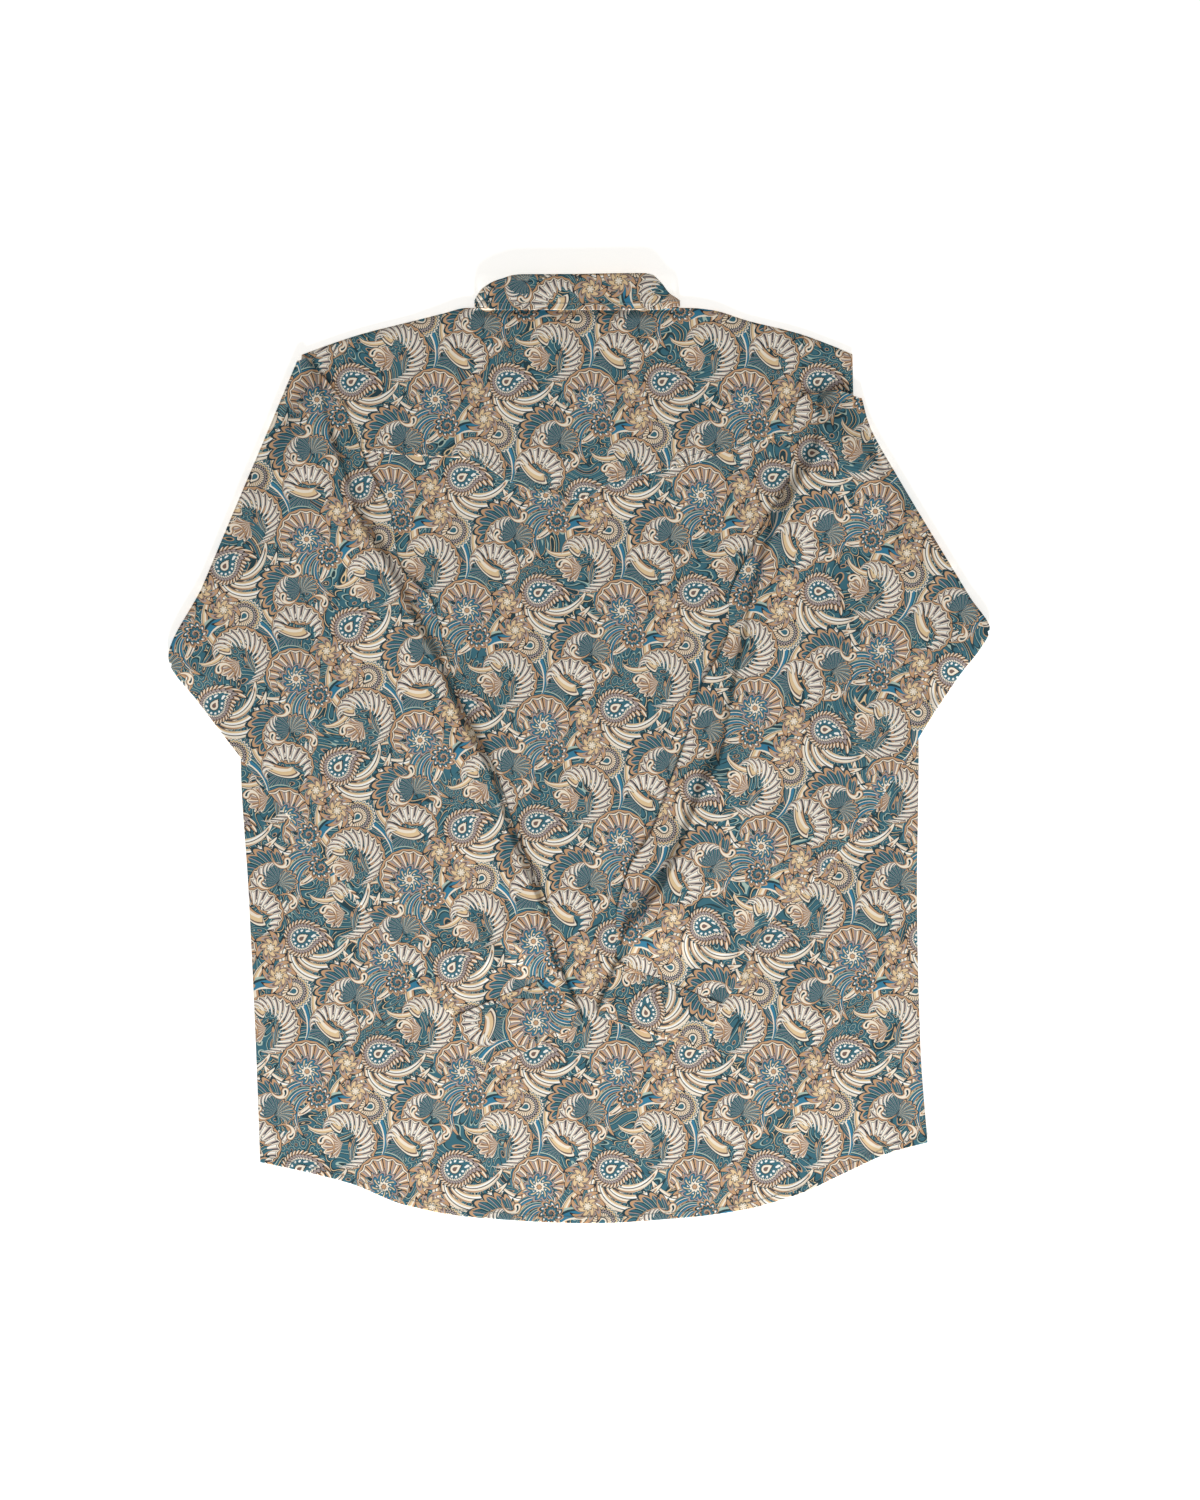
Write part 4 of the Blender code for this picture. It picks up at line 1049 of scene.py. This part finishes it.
ROLL_STEPS = (27, 24, 21, 18, 15.5, 13, 11, 9, 7.5, 6, 4.8, 3.7, 2.8, 2, 1.4, 0.9, 0.5, 0.2, 0)
LEDGE_STEPS = (0.985, 0.95, 0.86, 0.74, 0.62, 0.5, 0.38, 0.26, 0.14, 0.06, 0.02, 0.0)
SLEEVE_FOLDS = {
    "left": (
        (150.0, 95.0, 30.0, 90.0, 26.0, 1.8),
        (300.0, 110.0, -12.0, 130.0, 30.0, 1.6),
        (450.0, 70.0, 8.0, 120.0, 24.0, 1.6),
        (560.0, 88.0, 4.0, 62.0, 8.0, 2.4),
        (566.0, 56.0, -3.0, 58.0, 8.0, 2.8),
        (572.0, 26.0, -6.0, 50.0, 8.0, 2.2),
    ),
    "right": (
        (150.0, 106.0, 31.6, 190.0, 16.0, 3.2),
        (300.0, 95.0, 12.0, 130.0, 30.0, 1.7),
        (450.0, 100.0, -6.0, 110.0, 26.0, 1.6),
        (555.0, 84.0, 5.0, 55.0, 8.0, 2.2),
        (552.0, 52.0, -4.0, 60.0, 8.0, 2.6),
    ),
}
SLEEVE_CREASES = {
    "left": (
        (40.0, 26.0, 40.0, 60.0, 7.0, -0.7),
        (95.0, 70.0, 44.0, 70.0, 7.0, 0.6),
        (180.0, 150.0, 20.0, 60.0, 9.0, 0.6),
        (395.0, 60.0, 12.0, 100.0, 7.0, 0.5),
        (520.0, 30.0, -20.0, 80.0, 6.0, -0.8),
        (500.0, 60.0, 30.0, 70.0, 7.0, 0.7),
        (590.0, 72.0, 3.0, 40.0, 3.4, -1.1),
        (590.0, 41.0, -4.0, 40.0, 3.4, -1.2),
        (594.0, 14.0, -5.0, 34.0, 3.2, -0.9),
        (592.0, 95.0, 8.0, 34.0, 3.2, -0.8),
    ),
    "right": (
        (118.0, 86.0, 35.0, 90.0, 3.6, -2.2),
        (190.0, 128.0, 27.0, 80.0, 3.2, -1.9),
        (240.0, 160.0, 30.0, 70.0, 8.0, 0.6),
        (262.0, 182.0, 66.0, 34.0, 4.0, -1.1),
        (318.0, 172.0, 40.0, 26.0, 4.0, -0.9),
        (380.0, 60.0, -10.0, 110.0, 7.0, 0.5),
        (520.0, 80.0, 24.0, 80.0, 6.0, -0.9),
        (535.0, 40.0, -14.0, 70.0, 6.0, 0.7),
        (578.0, 68.0, 4.0, 40.0, 3.4, -1.2),
        (578.0, 36.0, -5.0, 40.0, 3.4, -1.0),
        (580.0, 95.0, 6.0, 34.0, 3.2, -0.9),
    ),
}


def weld(piece, inside=None):
    """Makes corners that meet one, closes small gaps and turns the faces outwards. The inside of a tube is a
    sheet of its own, which faces the hollow, so it is added last."""
    work = bmesh.new()
    work.from_mesh(piece.data)
    bmesh.ops.remove_doubles(work, verts=work.verts, dist=TOUCHING * MM)
    bmesh.ops.holes_fill(work, edges=[e for e in work.edges if e.is_boundary], sides=0)
    bmesh.ops.recalc_face_normals(work, faces=work.faces)
    if work.calc_volume(signed=True) < 0:
        bmesh.ops.reverse_faces(work, faces=work.faces)
    if inside:
        work.from_mesh(inside.data)
        bpy.data.objects.remove(inside)
    work.to_mesh(piece.data)
    work.free()
    return piece


class Cloth:
    """Gathers the points, print coordinates and faces of a closed piece that takes more than one grid."""

    def __init__(self):
        self.points, self.prints, self.faces, self.count = [], [], [], 0

    def add(self, xyz, prints):
        """Adds a grid or row of points, and returns their numbers in the same arrangement."""
        self.points.append(xyz.reshape(-1, 3))
        self.prints.append(np.broadcast_to(prints, (*xyz.shape[:-1], 2)).reshape(-1, 2))
        numbers = self.count + np.arange(xyz.size // 3).reshape(xyz.shape[:-1])
        self.count += numbers.size
        return numbers

    def grid(self, numbers):
        """Faces all over a grid."""
        self.strip(numbers[:-1], numbers[1:])

    def strip(self, one, other):
        """Faces between rows of points and the rows beside them."""
        corners = (one[..., :-1], one[..., 1:], other[..., 1:], other[..., :-1])
        self.faces.append(np.stack(corners, -1).reshape(-1, 4))

    def sew(self, name, inside=None):
        """The piece, made from what was gathered, with the inside if it is a tube."""
        piece = put_mesh(name, *(np.concatenate(rows) for rows in (self.points, self.faces, self.prints)))
        return weld(piece, inside)


def sleeve_to_plan(sleeve, along, across):
    """X and Y of a point on a sleeve, whose straight middle leans in from the shoulder's tip."""
    lean, side = np.radians(sleeve["lean"]), sleeve["side"]
    x = sleeve["tip"][0] - side * np.sin(lean) * along + side * np.cos(lean) * across
    return x, sleeve["tip"][1] - np.cos(lean) * along - np.sin(lean) * across


def under_sleeve(sleeve, x, y):
    """Height of what a sleeve lies on: the body, its own head beside the body, or the floor."""
    side_name = {-1.0: "left", 1.0: "right"}[sleeve["side"]]
    data = table(SLEEVE_COLUMNS, sleeve["rows"])
    outside = sleeve["side"] * (x - side_edge(side_name, y))
    outer = curve(data["along"], data["outer"], sleeve["corner"])
    corner_x, corner_y = sleeve_to_plan(sleeve, sleeve["corner"], outer)
    underarm_x = side_edge(side_name, UNDERARM)
    slope = (corner_y - UNDERARM) / (corner_x - underarm_x)
    below = UNDERARM + slope * (x - underarm_x) - y
    free = rise(0.0, DROOP, outside) * rise(2.0, DROOP, below)
    return (back_top(x, y) + YOKE_STEP + AIR) * (1 - FREE_DROP * free)


def sleeve_height(side, along, across):
    """Heights of a sleeve's lower and upper face: what it lies on, the roll behind the ledge, which starts as
    a quarter of a circle, the folds and creases, and one or two layers of cloth."""
    sleeve = SLEEVES[side]
    data, roll = table(SLEEVE_COLUMNS, sleeve["rows"]), table(ROLL_COLUMNS, ROLL)
    outer, inner, ledge = (curve(data["along"], data[name], along) for name in SLEEVE_COLUMNS[1:])
    squeeze = np.minimum(1.0, (outer - inner) / FULL_WIDTH)
    beyond = across - inner - squeeze * ledge
    start, end = data["along"][0], data["along"][-1]
    x, y = sleeve_to_plan(sleeve, along, across)
    turn = 1.0 - rounding(np.maximum(beyond, 0.0), ROLL_RADIUS) / ROLL_RADIUS
    roll_rise = turn * curve(roll["beyond"], roll["rise"], beyond / squeeze) * (beyond > 0)
    fade = rise(0.0, 45.0, along - start) * rise(0.0, 25.0, outer - across)
    settle = 1.0 - SETTLE * rise(end - 40.0, end, along)
    under = under_sleeve(sleeve, x, y) + ROLL_HEIGHT * roll_rise * fade * settle
    soft = folds(SLEEVE_FOLDS[side], along, across)
    fine = folds(SLEEVE_CREASES[side], along, across) + slack(along, across, 0.6)
    under = under + soft * fade * rise(-1.0, 6.0, beyond)
    under = under + fine * rise(0.0, 12.0, outer - across) * rise(2.0, 14.0, beyond)
    layers = SLEEVE_LAYER * (1.0 + rise(-0.4, 1.2, beyond))
    edge = rounding(outer - across, OUTER_ROUND) * (along > sleeve["corner"])
    edge = rounding(across - inner, INNER_ROUND) + edge
    return under + 0.4 * edge, under + layers - edge


for side, sleeve in SLEEVES.items():
    data = table(SLEEVE_COLUMNS, sleeve["rows"])
    start, end, corner = data["along"][0], data["along"][-1], sleeve["corner"]
    head_rows = int((corner - start) / 3.0)
    along = np.concatenate((np.linspace(start, corner, head_rows), np.arange(corner + 3.0, end - 61.0, 3.0)))
    along = np.concatenate((along, np.linspace(end - 60.0, end, 30)))
    outer, inner, ledge = (curve(data["along"], data[name], along) for name in SLEEVE_COLUMNS[1:])
    outer = outer - FOLD_BULGE * (along <= corner)
    squeeze = np.minimum(1.0, (outer - inner) / FULL_WIDTH)

    # Columns from the outer edge to the inner one, closest over the roll and the ledge's step: shares of the
    # way to the roll's crest, then distances to the ledge, then shares of the ledge
    crest = inner + squeeze * (ledge + 30.0)
    across = np.concatenate(
        (
            outer[:, None] + (crest - outer)[:, None] * OUTER_STEPS,
            (inner + squeeze * ledge)[:, None] + squeeze[:, None] * ROLL_STEPS,
            inner[:, None] + (squeeze * ledge)[:, None] * LEDGE_STEPS,
        ),
        axis=1,
    )
    lengthwise = np.repeat(along[:, None], across.shape[1], axis=1)
    x, y = sleeve_to_plan(sleeve, lengthwise, across)
    low, high = sleeve_height(side, lengthwise, across)
    prints = turned(x, y, sleeve["grain"], sleeve["start"])
    cloth = Cloth()
    top = cloth.add(stack(x, y, high), prints)
    bottom = cloth.add(stack(x, y, low), prints)
    cloth.grid(top)
    cloth.grid(bottom)

    # Sleeve head: it lies on the floor from under the fold to the armhole
    fold_x, fold_y = x[:head_rows, :1], y[:head_rows, :1]
    armhole_y = np.linspace(fold_y[0, 0], UNDERARM, head_rows)
    armhole_x = side_edge(side, armhole_y) + sleeve["side"] * ARMHOLE_GAP
    inwards = np.linspace(0, 1, 12)[None, :]
    head_x = fold_x + (armhole_x[:, None] - fold_x) * inwards
    head_y = fold_y + (armhole_y[:, None] - fold_y) * inwards
    head_prints = turned(2 * fold_x - head_x, head_y, sleeve["grain"], sleeve["start"])
    floor_side = cloth.add(stack(head_x, head_y, 0.0), head_prints)
    upper_head = cloth.add(stack(head_x, head_y, 2 * SLEEVE_LAYER)[:, 1:], head_prints[:, 1:])
    upper_head = np.concatenate((bottom[:head_rows, :1], upper_head), axis=1)
    cloth.grid(floor_side)
    cloth.grid(upper_head)
    cloth.strip(floor_side[:, -1], upper_head[:, -1])

    # The fold between them swells outwards as half an ellipse
    away = np.stack((fold_x - head_x[:, -1:], fold_y - head_y[:, -1:]), axis=-1)[:, 0]
    away = FOLD_BULGE * away / np.linalg.norm(away, axis=1, keepdims=True)
    crown = high[:head_rows, :1]
    arc = np.linspace(0, np.pi, 12)[None, :]
    bend_x, bend_y = fold_x + away[:, :1] * np.sin(arc), fold_y + away[:, 1:] * np.sin(arc)
    bend = cloth.add(stack(bend_x, bend_y, 0.5 * crown * (1 + np.cos(arc))), prints[:head_rows, :1])
    cloth.grid(bend)

    # Outer edge beyond the corner, parted by a groove into its two layers
    last = head_rows - 1
    groove_x, groove_y = sleeve_to_plan(sleeve, along[last:], outer[last:] - NOTCH)
    groove = cloth.add(stack(groove_x, groove_y, 0.5 * (low + high)[last:, 0]), prints[last:, 0])
    cloth.strip(top[last:, 0], groove)
    cloth.strip(groove, bottom[last:, 0])
    cloth.strip(floor_side[last], upper_head[last])
    cloth.strip(floor_side[0], upper_head[0])
    cloth.strip(top[0], bottom[0])
    cloth.strip(top[:, -1], bottom[:, -1])
    cloth.strip(top[-1], bottom[-1])

    # Inside of the tube, between its two layers. Its faces look into the hollow, and the right sleeve's grid
    # is the left one's mirror image
    few = np.s_[2:-1:4, 2:-1:4]
    hollow = [(low + (high - low) * level)[few] for level in HOLLOW]
    points = np.concatenate([stack(x[few], y[few], z).reshape(-1, 3) for z in hollow])
    faces = sheet_faces(*x[few].shape)
    faces = faces[:, ::-1] if side == "left" else faces
    inside = put_mesh("inside", points, faces, np.tile(prints[few].reshape(-1, 2), (2, 1)))
    piece = cloth.sew("sleeve_cloth_" + side, inside)
    dress(piece, ["sleeve_" + side], cotton)

# ---------------------------------------------------------------- cuffs
# Barrel cuffs of two interlined layers, flattened shut. Each is sewn over the sleeve's gathered end and
# topstitched along both edges.
CUFF_WALL = 3.4
CUFF_CROWN = 0.8
CUFF_LAYER = 1.25
CUFF_STITCH = 5.5  # from both its edges
CUFF_VALLEY = 0.3
CUFF_DEPTH = 52.5
CUFF_ROUND = 0.6
CUFFS = {
    "left": {"start": 614.3, "outer": 105.5, "inner": -2.0, "turn": 3.0, "grain": 120.0},
    "right": {"start": 598.3, "outer": 109.0, "inner": 3.0, "turn": -3.0, "grain": 70.0},
}


def cuff_point(side, round_it, down, inset):
    """A point of a cuff: a flattened ring whose section is two straight layers joined by half circles. The
    first share runs round it, the second from the sleeve to the free edge."""
    sleeve, cuff = SLEEVES[side], CUFFS[side]
    half = 0.5 * (cuff["outer"] - cuff["inner"])
    radius = 0.5 * CUFF_WALL
    flat = half - radius
    length = 4 * flat + 2 * np.pi * radius
    run = round_it * length
    first = np.clip(run, 0, 2 * flat) - flat
    turn_one = np.clip((run - 2 * flat) / radius, 0, np.pi)
    second = np.clip(run - 2 * flat - np.pi * radius, 0, 2 * flat)
    turn_two = np.clip((run - 4 * flat - np.pi * radius) / radius, 0, np.pi)
    middle = np.where(second > 0, flat - second, first)
    angle = turn_one + turn_two
    r = radius - inset
    height = r * np.cos(angle)
    across = 0.5 * (cuff["outer"] + cuff["inner"]) - middle - r * np.sin(angle)
    skew = np.tan(np.radians(cuff["turn"])) * (across - cuff["inner"])
    along = cuff["start"] + down * (CUFF_DEPTH + skew)
    x, y = sleeve_to_plan(sleeve, along, across)
    crown = CUFF_CROWN * np.cos(0.5 * np.pi * np.clip(middle / half, -1, 1))
    crown = crown * np.sin(np.pi * np.clip(down, 0.05, 0.95))
    from_edge = np.minimum(down, 1 - down) * CUFF_DEPTH
    valley = CUFF_VALLEY * np.exp(-(((from_edge - CUFF_STITCH) / 2.0) ** 2))
    soft = (slack(along, across, 0.5) - valley) * np.sin(np.pi * down)
    z = under_sleeve(sleeve, x, y) + radius + height + (crown + soft) * (height > 0)
    return stack(x, y, z), turned(x, y, cuff["grain"], (25.0, 71.0))


for side in CUFFS:
    round_it = np.linspace(0, 1, 150)[:-1]
    down = spaced(CUFF_DEPTH, near=(0.0, 0.3, 0.8, 1.5), step=1.6)
    w, t = np.meshgrid(round_it, down)
    ends = np.minimum(t, 1 - t) * CUFF_DEPTH
    outside, prints = cuff_point(side, w, t, rounding(ends, CUFF_ROUND))
    inside, _ = cuff_point(side, w, t, CUFF_LAYER - rounding(ends, CUFF_ROUND) * 0.9)
    cloth = Cloth()
    rings = []
    for layer in (outside, inside):
        numbers = cloth.add(layer, prints)
        numbers = np.concatenate((numbers, numbers[:, :1]), axis=1)
        cloth.grid(numbers)
        rings.append(numbers)
    cloth.strip(rings[0][0], rings[1][0])
    cloth.strip(rings[0][-1], rings[1][-1])
    piece = cloth.sew("cuff_cloth_" + side)
    dress(piece, ["cuff_" + side], cotton)
    rows = []
    for down in (CUFF_STITCH / CUFF_DEPTH, 1 - CUFF_STITCH / CUFF_DEPTH):
        for start, out in ((0.02, 1.0), (0.52, -1.0)):
            points, _ = cuff_point(side, np.linspace(start, start + 0.45, 200), np.full(200, down), 0.0)
            rows.append(stitch_row(*points.T, out))
    cuff_thread = sew_thread("cuff_topstitching_" + side, *rows)

# ---------------------------------------------------------------- snaps
# Press studs down the front and one at the neck, shown fastened. Each has a pearl cap of cast acrylic in a
# pressed ring of nickel-plated brass, whose prongs hold it through the cloth. The caps face the floor.
SNAPS = ["snap_neck", *(f"snap_{k}" for k in range(1, 7))]
SNAP_SIDES = 40
PROFILE_COLUMNS = ("radius", "height")  # height is up from the cap's face
PEARL_PROFILE = (
    *((0.0, 0.02), (1.2, 0.03), (2.2, 0.08), (3.1, 0.17), (3.8, 0.3), (4.2, 0.44), (4.4, 0.6), (4.4, 0.9)),
    *((2.0, 0.92), (0.0, 0.92)),
)
RING_PROFILE = (
    *((4.15, 0.7), (4.2, 0.32), (4.35, 0.14), (4.6, 0.04), (4.9, 0.03), (5.2, 0.12), (5.42, 0.34)),
    *((5.5, 0.62), (5.4, 0.9), (5.15, 1.1), (4.8, 1.18), (3.0, 1.2), (3.0, 1.0), (4.15, 0.96), (4.15, 0.7)),
)


def turn_snaps(name, profile, material):
    """The profile turned round an upright axis at the middle of every snap."""
    shape = table(PROFILE_COLUMNS, profile)
    angle = 2 * np.pi * np.arange(SNAP_SIDES + 1) / SNAP_SIDES
    points, faces, size = [], [], len(profile) * angle.size
    number = np.arange(size).reshape(len(profile), -1)
    one = np.stack((number[:-1, :-1], number[:-1, 1:], number[1:, 1:], number[1:, :-1]), -1).reshape(-1, 4)
    for k, node in enumerate(SNAPS):
        low, high = (np.array(corner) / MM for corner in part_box(node))
        radius = shape["radius"][:, None]
        across, up = 0.5 * (low + high), low[2] + shape["height"][:, None]
        points.append(stack(across[0] + radius * np.cos(angle), across[1] + radius * np.sin(angle), up))
        faces.append(one + k * size)
    piece = weld(put_mesh(name, np.concatenate(points).reshape(-1, 3), np.concatenate(faces)))
    return dress(piece, [], material)


# Pearl acrylic: glossy, with slow clouds of warm and cool white in it. Nickel plate: bright, a little worn.
CLOUD_SIZE = 2.5
PEARL_WARM, PEARL_COOL = "#efe6d6", "#d5dcdc"
RUB_SIZE = 0.6
NICKEL, NICKEL_DULL = "#cfccc4", "#a8a49b"
pearl = start_material("pearl_acrylic")
place_on_snap = add("TexCoord").outputs["Object"]
clouds = add("TexNoise", place_on_snap, None, 1 / CLOUD_SIZE / MM, 3.0, 0.5, 2.0, 0.0, 2.5).outputs[0]
colour = add("MixRGB", clouds, linear(PEARL_COOL), linear(PEARL_WARM))
glossy = (("Roughness", 0.16), ("IOR", 1.49), ("Coat Weight", 0.5), ("Coat Roughness", 0.05))
add("OutputMaterial", add("BsdfPrincipled", colour, named=glossy))
turn_snaps("snap_pearls", PEARL_PROFILE, pearl)

nickel = start_material("nickel_plated_brass")
rub = add("TexNoise", add("TexCoord").outputs["Object"], None, 1 / RUB_SIZE / MM, 3.0).outputs[0]
colour = add("MixRGB", rub, linear(NICKEL_DULL), linear(NICKEL))
plated = (("Metallic", 1.0), ("Roughness", 0.26), ("Normal", add("Bump", 0.08, 0.05 * MM, None, rub)))
add("OutputMaterial", add("BsdfPrincipled", colour, named=plated))
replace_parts(turn_snaps("snap_rings", RING_PROFILE, nickel), *SNAPS)

# ---------------------------------------------------------------- floor, light and camera
# White paper lit from behind, as for a cut-out; a long lens straight above; a broad low lamp beyond the hem,
# so that shadows fall towards the collar; and even light from all round.
FLOOR_HALF = 9.0  # in this section sizes are in metres
FLOOR_DROP = 0.0002
VIEW_PLACE = (0.0189, -0.0023, 6.0)
VIEW_LENS = 156.5
KEY_PLACE = (0.15, -3.3, 1.25)
KEY_SIZE = 0.7
KEY_POWER = 168.0
ROUND_LIGHT = 0.39
PAPER, PAPER_LIT = "#fafafa", "#fffcf6"
PAPER_GLOW = 0.61

# Uncoated paper: matt white, and it glows so that the camera sees it as pure white
paper = start_material("white_paper")
lit = (("Roughness", 0.9), ("Emission Color", linear(PAPER_LIT)), ("Emission Strength", PAPER_GLOW))
add("OutputMaterial", add("BsdfPrincipled", linear(PAPER), named=lit))
square = np.array(((-1, -1, 0), (1, -1, 0), (1, 1, 0), (-1, 1, 0))) * FLOOR_HALF - (0, 0, FLOOR_DROP)
floor_mesh = bpy.data.meshes.new("floor")
floor_mesh.from_pydata(square.tolist(), [], [(0, 1, 2, 3)])
floor_mesh.materials.append(paper)
floor = bpy.data.objects.new("floor", floor_mesh)
bpy.context.scene.collection.objects.link(floor)
floor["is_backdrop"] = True

view = bpy.data.cameras.new("view")
view.lens, view.sensor_width = VIEW_LENS, 36.0
camera = bpy.data.objects.new("view", view)
camera.location = VIEW_PLACE
bpy.context.scene.collection.objects.link(camera)
bpy.context.scene.camera = camera

studio = bpy.data.worlds.new("studio")
studio.use_nodes = True
all_round = studio.node_tree.nodes["Background"]
all_round.inputs["Color"].default_value = linear("#ffffff")
all_round.inputs["Strength"].default_value = ROUND_LIGHT
bpy.context.scene.world = studio
lamp = bpy.data.lights.new("key", "AREA")
lamp.size, lamp.energy = KEY_SIZE, KEY_POWER
key = bpy.data.objects.new("key", lamp)
key.location = KEY_PLACE
key.rotation_euler = (-Vector(KEY_PLACE)).to_track_quat("-Z", "Y").to_euler()
bpy.context.scene.collection.objects.link(key)
bpy.context.scene.view_settings.view_transform = "Standard"

[[list(corner) for corner in box] for box in (cad_box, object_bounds())]
